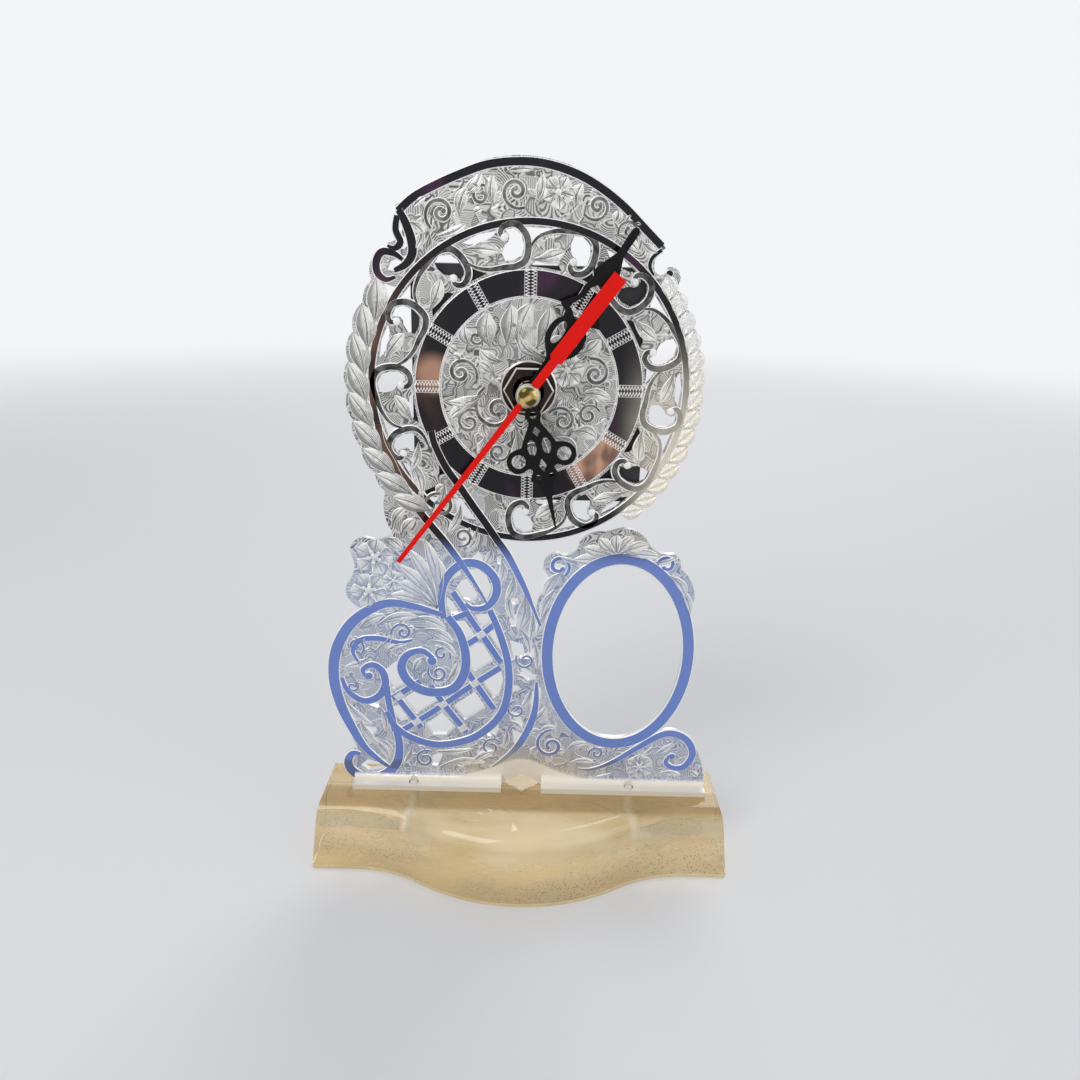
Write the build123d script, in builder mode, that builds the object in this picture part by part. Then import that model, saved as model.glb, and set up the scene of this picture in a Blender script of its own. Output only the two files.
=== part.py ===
from build123d import *
import os
from math import atan, cos, degrees, radians, sin

os.makedirs("parts", exist_ok=True)

# A table clock with an oval picture frame. One pierced and engraved sheet stands on a clear block.
# The sheet carries a quartz movement behind its dial. X runs to the right, Y to the back and Z up,
# and the origin lies under the base, below the front face of the sheet.

# Driving sizes of the base, in millimetres
pad_thickness = 1.0
block_height = 18.0
block_bottom_width = 112.0
block_draft = 1.8
block_back_depth = 10.3
block_side_depth = 13.4
block_bulge = 12.8
block_bulge_radius = 50.0
block_top_rounding = 4.0

# Driving sizes of the sheet
plate_thickness = 1.5
stem_height = 110.0
dial_ring_radius = 38.3
dial_ring_width = 1.7
chapter_radius = 27.3
oval_opening_width = 34.0
oval_opening_height = 50.6
oval_band_width = 3.2
flange_depth = 4.2
flange_bend = 1.4
flange_gap = 11.0

# Driving sizes of the fastenings
screw_spacing = 59.4
screw_diameter = 2.5
screw_head_diameter = 5.0
screw_head_height = 1.6
bush_diameter = 7.8
bush_wall = 1.35
bush_projection = 4.0
bush_flange_width = 1.6
bush_flange_thickness = 0.6
front_washer_diameter = 13.6
front_washer_thickness = 0.8
rubber_washer_diameter = 22.0
rubber_washer_thickness = 1.0
nut_across_flats = 10.5
nut_thickness = 2.0

# Driving sizes of the hands
hour_hand_length = 33.3
minute_hand_length = 42.5
second_hand_length = 51.3
second_tail_length = 32.8
hand_thickness = 0.4
hour_hand_angle = 167.5
minute_hand_angle = 32.5
second_hand_angle = 216.8
hour_pipe_projection = 5.9
minute_pipe_projection = 7.8
second_shaft_projection = 10.3
cap_diameter = 6.5
cap_height = 3.0

# Driving sizes of the movement
case_depth = 16.0
case_wall = 1.2
case_floor = 1.0
cover_thickness = 1.4
bridge_thickness = 1.0
battery_diameter = 14.5
battery_length = 50.5
contact_reach = 1.55
battery_nub_diameter = 5.5
battery_nub_length = 1.2
knob_diameter = 9.0
knob_height = 3.0
knob_stem_radius = 1.0
case_corner_radius = 3.0
bay_clearance = 0.55
post_width = 2.4
lower_post_spacing = 28.0
lower_post_drop = 7.5
stub_radius = 0.6
pivot_radius = 0.3
minute_module = 0.42
third_module = 0.34
second_module = 0.48
rotor_module = 0.32
wheel_thickness = 0.8
pinion_width = 1.4
magnet_radius = 1.6
stator_thickness = 0.8
stator_gap = 0.6
stator_margin = 1.3
leg_width = 1.6
core_width = 2.4
coil_radius = 3.2
coil_length = 16.0
board_width = 9.2
board_height = 23.0
board_thickness = 0.8
crystal_diameter = 2.0
crystal_length = 6.0
contact_thickness = 0.4
contact_width = 9.0
contact_height = 7.0

# Clearances and overruns
running_fit = 0.05
seat_gap = 0.3
overrun = 1.0

# Screws, arbors and other small round pieces inside are drawn with this many sides
hidden_sides = 12

# Heights and planes that follow from them
base_top = pad_thickness + block_height
dial_height = base_top + stem_height
plate_back = plate_thickness
case_front = plate_back + rubber_washer_thickness
case_inside = case_front + case_floor
case_back = case_front + case_depth
cover_front = case_back - cover_thickness
case_width = battery_length + 2 * (contact_reach + case_wall)
screw_places = [(side * screw_spacing / 2, -flange_depth / 2) for side in (-1, 1)]


def finish(builder, name):
    """Labels a finished piece and writes it."""
    builder.part.label = name
    export_step(builder.part, "parts/" + name + ".step")


# Drawing helpers for the sheet, whose sketch plane has X to the right and Z up
squares_in_stem = 110
square = stem_height / squares_in_stem
degrees_in_turn = 360
quarter_angle = degrees_in_turn / 4


def spot(pair):
    """A place on the lower sheet, in squares right of the centre line and above the base."""
    return (pair[0] * square, base_top + pair[1] * square)


def ring_spot(turn, radius):
    """A place round the dial centre, by its angle in degrees and its distance."""
    return (radius * cos(radians(turn)), dial_height + radius * sin(radians(turn)))


def straight_face(points, mode=Mode.ADD):
    """A face inside straight runs between the points."""
    with BuildLine() as edge:
        Polyline(*points, close=True)
    make_face(edge.edges(), mode=mode)


def curved_face(start, legs, mode=Mode.ADD):
    """A face whose sides are chains of arcs, each arc through the next two points of its leg.

    The last point of a leg with an odd count is reached by a straight run.
    """
    with BuildLine() as edge:
        here = start
        for leg in legs:
            for first in range(0, len(leg) - 1, 2):
                ThreePointArc(here, leg[first], leg[first + 1])
                here = leg[first + 1]
            if len(leg) % 2:
                Line(here, leg[-1])
                here = leg[-1]
    make_face(edge.edges(), mode=mode)


def leaf_face(centre, length, width, turn):
    """A leaf with two pointed tips, turned about its own centre."""
    along = (cos(radians(turn)) / 2, sin(radians(turn)) / 2)
    tip = (centre[0] + length * along[0], centre[1] + length * along[1])
    far_tip = (centre[0] - length * along[0], centre[1] - length * along[1])
    left = (centre[0] - width * along[1], centre[1] + width * along[0])
    right = (centre[0] + width * along[1], centre[1] - width * along[0])
    with BuildLine() as edge:
        ThreePointArc(tip, left, far_tip)
        ThreePointArc(far_tip, right, tip)
    make_face(edge.edges())


def bead_face(centre, length, width, turn):
    """A six-sided bead, turned about its own centre."""
    along = (cos(radians(turn)) / 2, sin(radians(turn)) / 2)
    corners = [(1, 0), (1 / 2, 1), (-1 / 2, 1), (-1, 0), (-1 / 2, -1), (1 / 2, -1)]
    straight_face([(centre[0] + reach * length * along[0] - rise * width * along[1],
                    centre[1] + reach * length * along[1] + rise * width * along[0])
                   for reach, rise in corners])


# The dial ring: scrolls and leaves repeat round it, every second one turned inside out
motif_pitch_angle = 27.0
motif_start_angle = 178.0
motif_count = 11
filigree_inner = chapter_radius
filigree_outer = dial_ring_radius - dial_ring_width
# Each point is a share of the pitch from the scroll's own angle and a share of the filigree's width
outer_scroll_shares = [
    (0.10, 0.94), (-0.02, 0.95), (-0.12, 0.79), (-0.15, 0.53), (-0.11, 0.31), (0.03, 0.22),
    (0.17, 0.23), (0.20, 0.43), (0.13, 0.60), (0.075, 0.66), (0.05, 0.77), (0.065, 0.87),
]
inner_scroll_shares = [
    (0.16, 0.92), (0.05, 0.97), (-0.08, 0.85), (-0.14, 0.64), (-0.155, 0.42), (-0.11, 0.27),
    (-0.03, 0.22), (0.005, 0.31), (0.05, 0.44), (0.10, 0.47), (0.15, 0.56), (0.175, 0.74),
]
outer_lens_shares = [
    (-0.30, 0.95), (-0.38, 0.84), (-0.54, 0.77), (-0.72, 0.84), (-0.80, 0.95), (-0.54, 0.99),
]
inner_lens_shares = [
    (-0.245, 0.05), (-0.34, 0.18), (-0.52, 0.25), (-0.72, 0.17), (-0.80, 0.05), (-0.52, 0.04),
]
outer_gap_shares = [(-0.155, 0.97), (-0.52, 0.97), (-0.27, 0.54)]
inner_gap_shares = [(-0.13, 0.06), (-0.26, 0.36), (-0.47, 0.06)]


def filigree_spot(turn, pair):
    reach = filigree_inner + pair[1] * (filigree_outer - filigree_inner)
    return ring_spot(turn + pair[0] * motif_pitch_angle, reach)


def pierce_ring(turn, shares):
    straight_face([filigree_spot(turn, pair) for pair in shares], mode=Mode.SUBTRACT)


# The crest above the dial, in shares of the dial ring's radius from the dial centre
crest_outer_shares = [
    (-0.80, 1.045), (-0.56, 1.19), (-0.27, 1.305), (-0.08, 1.33), (0.20, 1.29), (0.52, 1.11),
]
crest_corner_shares = (0.795, 0.845)
crest_right_shares = [(0.735, 0.775), (0.735, 0.72), (0.775, 0.695), (0.815, 0.74), (0.855, 0.735), (0.86, 0.62)]
crest_left_shares = [
    (-0.955, 0.63), (-0.955, 0.73), (-0.915, 0.785), (-0.855, 0.79), (-0.85, 0.84), (-0.775, 0.885),
    (-0.80, 1.045),
]
crest_upper_eye_shares = [
    (-0.80, 0.81), (-0.755, 0.805), (-0.715, 0.84), (-0.71, 0.875), (-0.75, 0.88), (-0.785, 0.85),
]
crest_lower_eye_shares = [
    (-0.86, 0.69), (-0.84, 0.735), (-0.79, 0.755), (-0.735, 0.775), (-0.735, 0.73), (-0.78, 0.675),
]

# Laurel leaves down the left of the dial ring and a rope of beads down its right
laurel_count = 9
laurel_start_angle = 151.5
laurel_end_angle = 226.0
laurel_length_share = 0.285
laurel_width_share = 0.15
laurel_reach_share = 1.065
laurel_band_share = 1.045
laurel_lean_angle = 24.0
bead_count = 14
bead_start_angle = 37.5
bead_end_angle = -48.5
bead_length_share = 0.155
bead_width_share = 0.115
bead_reach_share = 1.025
bead_lean_angle = 30.0


def dial_spot(pair):
    return (pair[0] * dial_ring_radius, dial_height + pair[1] * dial_ring_radius)


# The lower sheet, in squares right of the centre line and above the base
stem_left_shares = [(-28, 92), (-35.5, 78), (-33.6, 73), (-36.5, 71.5), (-40, 71.6)]
flower_side_shares = [
    (-43.6, 70.5), (-44.6, 67.5), (-43.7, 63.7), (-45.2, 60), (-46.2, 57), (-44.6, 53.6), (-42.4, 51.9),
]
lobe_edge_shares = [
    (-46.4, 47.6), (-49.8, 41), (-51.6, 34), (-51.6, 28), (-50.2, 22), (-47.7, 16.4), (-45.2, 10.4),
]
foot_scroll_shares = [(-47.4, 9.6), (-49.2, 6.3), (-48.4, 2.8), (-46.2, 0)]
foot_right_shares = [(50.6, 0)]
right_scroll_shares = [(50.2, 6), (49, 10), (47.4, 13.4), (45, 16.3), (42, 18), (38.5, 17.9), (34, 16)]
stem_right_shares = [(22, 16), (7, 44), (2.4, 54), (0.8, 58), (-3.6, 67), (-8, 74), (-12, 82)]
oval_centre_shares = (24.8, 40.7)
shell_left_shares = [
    (4.4, 47), (3.1, 53.6), (4.0, 57), (6.2, 61.0), (4.7, 64.2), (5.6, 67.6), (8.4, 68.7), (11.2, 68.3),
    (13.6, 71.6), (16.4, 73.9), (20, 74.3), (24.5, 75.6),
]
shell_right_shares = [
    (28.2, 74.8), (31, 72), (33.6, 69.6), (37.6, 69.2), (39.5, 67.2), (39.6, 65.2), (42.6, 61.8), (43.8, 57.4),
    (42.6, 53.6), (38, 50),
]

# Holes with corners in the lower sheet: the lattice, the hook and the leaves
cornered_hole_shares = [
    [(-17.8, 58.4), (-16.4, 60.6), (-14.8, 61.2), (-12.2, 57.0), (-12.6, 55.4), (-14.2, 55.0), (-15.8, 55.6)],
    [(-19.6, 60.2), (-18.8, 62.3), (-16.6, 63.4), (-16.3, 62.3)],
    [(-20.2, 56.2), (-18.6, 54.6), (-16.8, 51.2), (-19.2, 51.3), (-20.4, 53.4)],
    [(-13.0, 51.2), (-9.2, 51.6), (-8.0, 49.5), (-11.0, 47.8), (-12.3, 49.3)],
    [(-17.8, 49.0), (-15.6, 49.5), (-12.8, 45.2), (-16.0, 43.8)],
    [(-9.6, 46.2), (-8.0, 47.5), (-5.9, 42.7), (-6.4, 40.8)],
    [(-15.0, 41.0), (-12.5, 43.2), (-10.8, 43.0), (-8.0, 38.0), (-13.0, 34.7), (-14.8, 36.5)],
    [(-5.9, 35.4), (-5.3, 32.0), (-6.4, 28.0), (-7.9, 26.8), (-10.4, 30.5), (-10.3, 31.8)],
    [(-18.8, 24.3), (-12.9, 28.7), (-10.0, 24.0), (-15.7, 19.9)],
    [(-32.4, 26.0), (-27.6, 29.4), (-25.1, 28.7), (-22.9, 25.7), (-28.8, 21.5)],
    [(-36.9, 34.5), (-34.2, 37.0), (-32.7, 37.0), (-32.3, 34.0), (-30.6, 31.0), (-34.8, 28.9), (-36.3, 31.5)],
    [(-36.2, 23.5), (-33.5, 24.0), (-30.9, 19.8), (-33.0, 19.2), (-35.2, 21.4)],
    [(-26.6, 18.2), (-21.8, 22.0), (-18.1, 17.7), (-20.6, 15.3), (-24.5, 15.2)],
    [(-48.0, 23.7), (-46.6, 23.6), (-44.4, 21.0), (-44.6, 19.0), (-46.0, 18.8), (-47.3, 21.0)],
    [(-43.6, 25.2), (-39.0, 25.6), (-38.8, 23.0), (-41.0, 23.7)],
    [(-10.3, 15.1), (-8.5, 16.7), (-6.4, 18.9), (-6.5, 16.2), (-7.5, 15.0)],
    [(-2.8, 17.6), (-0.5, 16.3), (1.2, 16.5), (-0.5, 13.7), (-2.2, 12.7), (-2.6, 15.0)],
    [(-2.7, 31.0), (-1.5, 30.7), (-0.3, 29.7), (-1.8, 29.0), (-2.8, 27.8)],
    [(-18.2, 82.6), (-16.6, 83.0), (-12.3, 76.6), (-14.8, 76.9), (-17.2, 78.6)],
    [(-14.2, 66.4), (-12.0, 68.7), (-10.8, 67.0), (-10.8, 65.3), (-12.5, 65.5)],
    [(-7.4, 67.5), (-6.5, 67.0), (-5.4, 65.2), (-7.2, 65.4)],
    [(-19.8, 6.0), (-17.0, 6.9), (-14.4, 6.2), (-17.0, 5.3)],
    [(-5.4, 55.5), (-3.8, 56.3), (-2.0, 56.1), (-1.3, 55.1), (-2.6, 54.3), (-4.4, 54.5)],
    [(-4.0, 49.5), (-3.4, 51.4), (-2.2, 51.6), (-1.6, 50.0), (-2.2, 47.9), (-3.4, 47.8)],
    [(-1.7, 35.4), (-0.2, 36.1), (1.4, 35.7), (2.6, 34.3), (3.8, 34.2), (3.4, 33.0), (1.6, 32.3), (-0.6, 33.0)],
    [(2.0, 26.5), (2.5, 28.8), (3.6, 30.2), (4.8, 30.5), (5.0, 27.4), (4.1, 23.8), (3.1, 22.3), (2.2, 23.6)],
    [(-3.8, 22.0), (-2.8, 22.9), (-1.4, 22.6), (-0.4, 21.4), (0.0, 20.0), (0.6, 19.0), (-1.0, 18.3),
     (-3.0, 19.4)],
    [(-44.0, 16.2), (-42.8, 17.4), (-41.2, 17.1), (-39.8, 17.0), (-39.9, 15.3), (-41.6, 14.3), (-43.3, 14.8)],
    [(-25.2, 7.0), (-24.4, 8.8), (-22.8, 9.5), (-21.7, 8.8), (-22.4, 7.0), (-23.2, 5.3), (-24.7, 5.3)],
    [(6.1, 65.6), (8.0, 66.0), (10.4, 65.4), (9.8, 63.8), (8.0, 63.0), (6.3, 63.9)],
    [(32.9, 67.8), (35.4, 68.0), (37.7, 66.8), (37.6, 65.4), (36.2, 64.9), (34.4, 66.0)],
]
# Rounded holes in the lower sheet: scroll eyes and the spaces inside curls
rounded_hole_shares = [
    [(-14.9, 63.2), (-12.2, 64.1), (-9.8, 62.0), (-8.8, 59.2), (-9.2, 56.4), (-9.9, 55.4), (-10.8, 56),
     (-12.9, 59.4)],
    [(-25.4, 84.2), (-23, 85.4), (-20.6, 84.4), (-21.2, 82.4), (-23.2, 81.2), (-23.8, 79.2), (-24.8, 78.9),
     (-25.6, 81.4)],
    [(-17.6, 72.4), (-14.8, 75.2), (-12.1, 72.6), (-15, 69.4)],
    [(-44.6, 5.0), (-42.6, 6.9), (-38.0, 5.4), (-37.8, 4.6), (-38.6, 4.0), (-42.2, 3.4)],
    [(-12.6, 10.0), (-11.0, 12.2), (-9.0, 11.4), (-7.4, 10.6), (-8.2, 8.8), (-10.6, 7.9)],
]
# The long space beside the oval, with a hooked end
column_hole_shares = [
    (-3.8, 44.2), (-0.3, 43.1), (0.3, 40.3), (1.9, 41.7), (3.4, 42.0), (3.4, 40.0), (2.0, 38.7),
    (-1.0, 39.0), (-2.7, 38.2),
]
notch_shares = [(-1.0, 0.0), (-0.62, 0.42), (-0.28, 0.62), (0.0, 1.0), (0.28, 0.62), (0.62, 0.42), (1.0, 0.0)]
notch_height = 3.6

foot_plate_left = foot_scroll_shares[-1][0] * square
foot_plate_right = foot_right_shares[-1][0] * square


def build_sheet_outline():
    """Adds the whole silhouette of the sheet to the sketch that is open."""
    with Locations((0, dial_height)):
        Circle(dial_ring_radius)
    # Crest
    left = [dial_spot(pair) for pair in crest_left_shares]
    crest_start = (-dial_ring_radius / 2, dial_height + dial_ring_radius / 2)
    crest_finish = (dial_ring_radius / 2, dial_height + dial_ring_radius / 2)
    outer = [dial_spot(pair) for pair in crest_outer_shares] + [dial_spot(crest_corner_shares)]
    right = [dial_spot(pair) for pair in crest_right_shares]
    curved_face(crest_start, [[left[0]], left[1:], outer[1:], right, [crest_finish], [crest_start]])
    # Laurel leaves on a narrow band, and beads
    band = [ring_spot(turn, laurel_band_share * dial_ring_radius) for turn in (laurel_start_angle, laurel_end_angle)]
    middle = ring_spot((laurel_start_angle + laurel_end_angle) / 2, laurel_band_share * dial_ring_radius)
    curved_face((0, dial_height), [[band[0]], [middle, band[1]], [(0, dial_height)]])
    for index in range(laurel_count):
        turn = laurel_start_angle + (laurel_end_angle - laurel_start_angle) * index / (laurel_count - 1)
        centre = ring_spot(turn, laurel_reach_share * dial_ring_radius)
        length = laurel_length_share * dial_ring_radius
        leaf_face(centre, length, laurel_width_share * dial_ring_radius,
                  turn - quarter_angle + laurel_lean_angle)
    for index in range(bead_count):
        turn = bead_start_angle + (bead_end_angle - bead_start_angle) * index / (bead_count - 1)
        centre = ring_spot(turn, bead_reach_share * dial_ring_radius)
        length = bead_length_share * dial_ring_radius
        bead_face(centre, length, bead_width_share * dial_ring_radius,
                  turn - quarter_angle - bead_lean_angle)
    # Stem, lobe and foot
    legs = [flower_side_shares, lobe_edge_shares, foot_scroll_shares, foot_right_shares, right_scroll_shares]
    body_legs = [[spot(pair) for pair in leg] for leg in legs]
    body_legs.append([spot(stem_right_shares[0])])
    body_legs.append([spot(stem_right_shares[1])])
    body_legs.append([spot(pair) for pair in stem_right_shares[2:]])
    start = spot(stem_left_shares[0])
    body_legs.insert(0, [spot(pair) for pair in stem_left_shares[1:]])
    body_legs.append([start])
    curved_face(start, body_legs)
    # Oval frame and the shell round it
    with Locations(spot(oval_centre_shares)):
        Ellipse(oval_opening_width / 2 + oval_band_width, oval_opening_height / 2 + oval_band_width)
    shell_foot = spot(oval_centre_shares)
    shell_left = [spot(pair) for pair in shell_left_shares]
    shell_right = [spot(pair) for pair in shell_right_shares]
    curved_face(shell_foot, [[shell_left[0]], shell_left[1:], shell_right, [shell_foot]])


def pierce_motif(turn, outward, lone):
    """One scroll of the dial ring, with the two spaces between it and the next scroll."""
    scroll = outer_scroll_shares if outward else inner_scroll_shares
    pierce_ring(turn, scroll)
    if not lone:
        pierce_ring(turn, inner_lens_shares if outward else outer_lens_shares)
        pierce_ring(turn, outer_gap_shares if outward else inner_gap_shares)


def pierce_sheet():
    """Cuts every opening from the sketch that is open."""
    for index in range(motif_count):
        turn = motif_start_angle - index * motif_pitch_angle
        pierce_motif(turn, index % 2 == 1, index == motif_count - 1)
    # The scroll below the first one, and the spaces where the strap takes the next one's place
    pierce_motif(motif_start_angle + motif_pitch_angle, True, False)
    pierce_ring(motif_start_angle + 2 * motif_pitch_angle, outer_lens_shares)
    pierce_ring(motif_start_angle + 2 * motif_pitch_angle, inner_gap_shares)
    for shares in (crest_upper_eye_shares, crest_lower_eye_shares):
        straight_face([dial_spot(pair) for pair in shares], mode=Mode.SUBTRACT)
    for shares in cornered_hole_shares + rounded_hole_shares + [column_hole_shares]:
        straight_face([spot(pair) for pair in shares], mode=Mode.SUBTRACT)
    with Locations(spot(oval_centre_shares)):
        Ellipse(oval_opening_width / 2, oval_opening_height / 2, mode=Mode.SUBTRACT)
    with Locations((0, dial_height)):
        Circle(bush_diameter / 2 + running_fit, mode=Mode.SUBTRACT)
    notch = [(side * flange_gap / 2, base_top + rise * notch_height) for side, rise in notch_shares]
    straight_face(notch, mode=Mode.SUBTRACT)


# Engraved plate: the pierced sheet, with two flanges bent forward at its foot and their screw holes
with BuildPart() as engraved_plate:
    with BuildSketch(Plane.XZ.offset(-plate_back)) as sheet:
        build_sheet_outline()
        pierce_sheet()
    extrude(amount=plate_thickness)
    flange_top = base_top + plate_thickness
    for left, right in ((foot_plate_left, -flange_gap / 2), (flange_gap / 2, foot_plate_right)):
        with BuildSketch(Plane.YZ.offset(left)):
            with BuildLine():
                Polyline((0, flange_top + flange_bend), (0, base_top), (-flange_depth, base_top),
                         (-flange_depth, flange_top), (-flange_bend, flange_top))
                RadiusArc((-flange_bend, flange_top), (0, flange_top + flange_bend), flange_bend)
            make_face()
        extrude(amount=right - left)
    with BuildSketch(Plane.XY.offset(base_top - overrun)):
        with Locations(*screw_places):
            RegularPolygon(screw_diameter / 2 + running_fit, hidden_sides, major_radius=False)
    extrude(amount=plate_thickness + 2 * overrun, mode=Mode.SUBTRACT)
finish(engraved_plate, "engraved_plate")


# Base pad and clear block, whose front swells forward between two hollows
flat_front_share = 0.8
block_half_width = block_bottom_width / 2
front_run = flat_front_share * block_half_width
both_radii = (front_run ** 2 + block_bulge ** 2) / (2 * block_bulge)
bulge_share = block_bulge_radius / both_radii


def base_outline():
    """Adds the plan of the base to the sketch that is open."""
    turn_depth = -block_side_depth - block_bulge * (1 - bulge_share)
    turn_width = front_run * bulge_share
    with BuildLine() as edge:
        Polyline((front_run, -block_side_depth), (block_half_width, -block_side_depth),
                 (block_half_width, block_back_depth), (-block_half_width, block_back_depth),
                 (-block_half_width, -block_side_depth), (-front_run, -block_side_depth))
        TangentArc((-front_run, -block_side_depth), (-turn_width, turn_depth), tangent=(1, 0))
        TangentArc((front_run, -block_side_depth), (turn_width, turn_depth), tangent=(-1, 0))
        ThreePointArc((-turn_width, turn_depth), (0, -block_side_depth - block_bulge), (turn_width, turn_depth))
    make_face(edge.edges())


with BuildPart() as base_pad:
    with BuildSketch():
        base_outline()
    extrude(amount=pad_thickness)
finish(base_pad, "base_pad")

screw_recess = screw_head_height + seat_gap
with BuildPart() as acrylic_base:
    with BuildSketch(Plane.XY.offset(pad_thickness)):
        base_outline()
    extrude(amount=block_height, taper=degrees(atan(block_draft / block_height)))
    top_edges = acrylic_base.faces().sort_by(Axis.Z)[-1].edges()
    fillet(top_edges.filter_by(lambda edge: edge.center().Y < -block_side_depth / 2), block_top_rounding)
    with BuildSketch(Plane.XY.offset(pad_thickness)):
        with Locations(*screw_places):
            RegularPolygon(screw_diameter / 2 + running_fit, hidden_sides, major_radius=False)
    extrude(amount=block_height, mode=Mode.SUBTRACT)
    with BuildSketch(Plane.XY.offset(pad_thickness)):
        with Locations(*screw_places):
            RegularPolygon(screw_head_diameter / 2 + running_fit, hidden_sides, major_radius=False)
    extrude(amount=screw_recess, mode=Mode.SUBTRACT)
finish(acrylic_base, "acrylic_base")

with BuildPart() as base_screws:
    with BuildSketch(Plane.XY.offset(pad_thickness + seat_gap)):
        with Locations(*screw_places):
            RegularPolygon(screw_head_diameter / 2, hidden_sides)
    extrude(amount=screw_head_height)
    with BuildSketch(Plane.XY.offset(pad_thickness + screw_recess)):
        with Locations(*screw_places):
            RegularPolygon(screw_diameter / 2, hidden_sides)
    extrude(amount=block_height - screw_recess + plate_thickness - seat_gap)
finish(base_screws, "base_screws")


# Round pieces on the dial's axis are drawn on planes that face forward, with X right and Z up
def facing(rear):
    return Plane(origin=(0, rear, dial_height), x_dir=(1, 0, 0), z_dir=(0, -1, 0))


def disc(rear, front, radius, bore=0, centre=(0, 0), mode=Mode.ADD):
    """Adds a disc or ring between two depths to the part that is open."""
    with BuildSketch(facing(rear)) as outline:
        with Locations(centre):
            Circle(radius)
            if bore:
                Circle(bore, mode=Mode.SUBTRACT)
    extrude(outline.sketch, amount=rear - front, mode=mode)


def block(rear, front, left, right, bottom, top, mode=Mode.ADD):
    """Adds a rectangular block between two depths to the part that is open."""
    with BuildSketch(facing(rear)) as outline:
        with Locations(((left + right) / 2, (bottom + top) / 2)):
            Rectangle(right - left, top - bottom)
    extrude(outline.sketch, amount=rear - front, mode=mode)


# Fastening of the movement: bush, washers and nut
bush_radius = bush_diameter / 2
nut_rear = -front_washer_thickness
bush_flange_back = case_inside + bush_flange_thickness
with BuildPart() as threaded_bush:
    disc(case_inside, -bush_projection, bush_radius, bush_radius - bush_wall)
    with BuildSketch(facing(bush_flange_back)):
        RegularPolygon(bush_radius + bush_flange_width, 6)
        Circle((bush_radius + bush_radius - bush_wall) / 2, mode=Mode.SUBTRACT)
    extrude(amount=bush_flange_thickness)
finish(threaded_bush, "threaded_bush")

with BuildPart() as rubber_washer:
    with BuildSketch(facing(case_front)):
        RegularPolygon(rubber_washer_diameter / 2, 2 * hidden_sides)
        RegularPolygon(bush_radius + running_fit, hidden_sides, major_radius=False, mode=Mode.SUBTRACT)
    extrude(amount=rubber_washer_thickness)
finish(rubber_washer, "rubber_washer")

with BuildPart() as front_washer:
    disc(0, nut_rear, front_washer_diameter / 2, bush_radius + running_fit)
finish(front_washer, "front_washer")

with BuildPart() as hex_nut:
    with BuildSketch(facing(nut_rear)):
        RegularPolygon(nut_across_flats / 2, 6, major_radius=False, rotation=quarter_angle / 3)
        Circle(bush_radius + running_fit, mode=Mode.SUBTRACT)
    extrude(amount=nut_thickness)
finish(hex_nut, "hex_nut")

# Radii of the nested pipes and the seconds shaft
hour_pipe_radius = bush_radius - bush_wall - running_fit
minute_pipe_radius = 1.6
second_shaft_radius = 0.5


# Hands, each drawn pointing to twelve on a plane turned to its place
def hand_plane(rear, turn):
    return Plane(origin=(0, rear, dial_height), x_dir=(cos(radians(turn)), 0, -sin(radians(turn))),
                 z_dir=(0, -1, 0))


def hand_points(length, shares):
    """Points of a hand's edge, as shares of its length across and along, with the mirrored side added."""
    right = [(across * length, along * length) for across, along in shares]
    left = [(-across, along) for across, along in reversed(right)]
    return right + left


def small_hole(across, along, width, height):
    """A six-sided hole, used where a hand is pierced."""
    corners = [quarter_angle + turn * degrees_in_turn / 6 for turn in range(6)]
    straight_face([(across + width / 2 * cos(radians(turn)), along + height / 2 * sin(radians(turn)))
                   for turn in corners], mode=Mode.SUBTRACT)


hour_hand_rear = -hour_pipe_projection + hand_thickness
hour_hub_radius = 3.6
hour_body_shares = [
    (0.045, 0.02), (0.045, 0.12), (0.055, 0.165), (0.035, 0.21), (0.055, 0.25), (0.09, 0.30), (0.115, 0.37),
    (0.09, 0.45), (0.11, 0.43), (0.20, 0.39), (0.245, 0.43), (0.25, 0.49), (0.205, 0.545), (0.15, 0.53),
    (0.075, 0.50), (0.05, 0.55), (0.09, 0.62), (0.045, 0.66), (0.035, 0.70), (0.02, 0.78), (0.010, 1.0),
]
hour_hole_shares = [
    (0, 0.165, 0.05, 0.05), (0, 0.29, 0.07, 0.09), (0.058, 0.405, 0.07, 0.12), (-0.058, 0.405, 0.07, 0.12),
    (0.175, 0.475, 0.10, 0.09), (-0.175, 0.475, 0.10, 0.09), (0, 0.515, 0.075, 0.10),
    (0.032, 0.61, 0.04, 0.04), (-0.032, 0.61, 0.04, 0.04),
]
with BuildPart() as hour_hand:
    with BuildSketch(hand_plane(hour_hand_rear, hour_hand_angle)):
        straight_face(hand_points(hour_hand_length, hour_body_shares))
        Circle(hour_hub_radius)
        for hole in hour_hole_shares:
            small_hole(*[share * hour_hand_length for share in hole])
        Circle(hour_pipe_radius, mode=Mode.SUBTRACT)
    extrude(amount=hand_thickness)
finish(hour_hand, "hour_hand")

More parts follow.
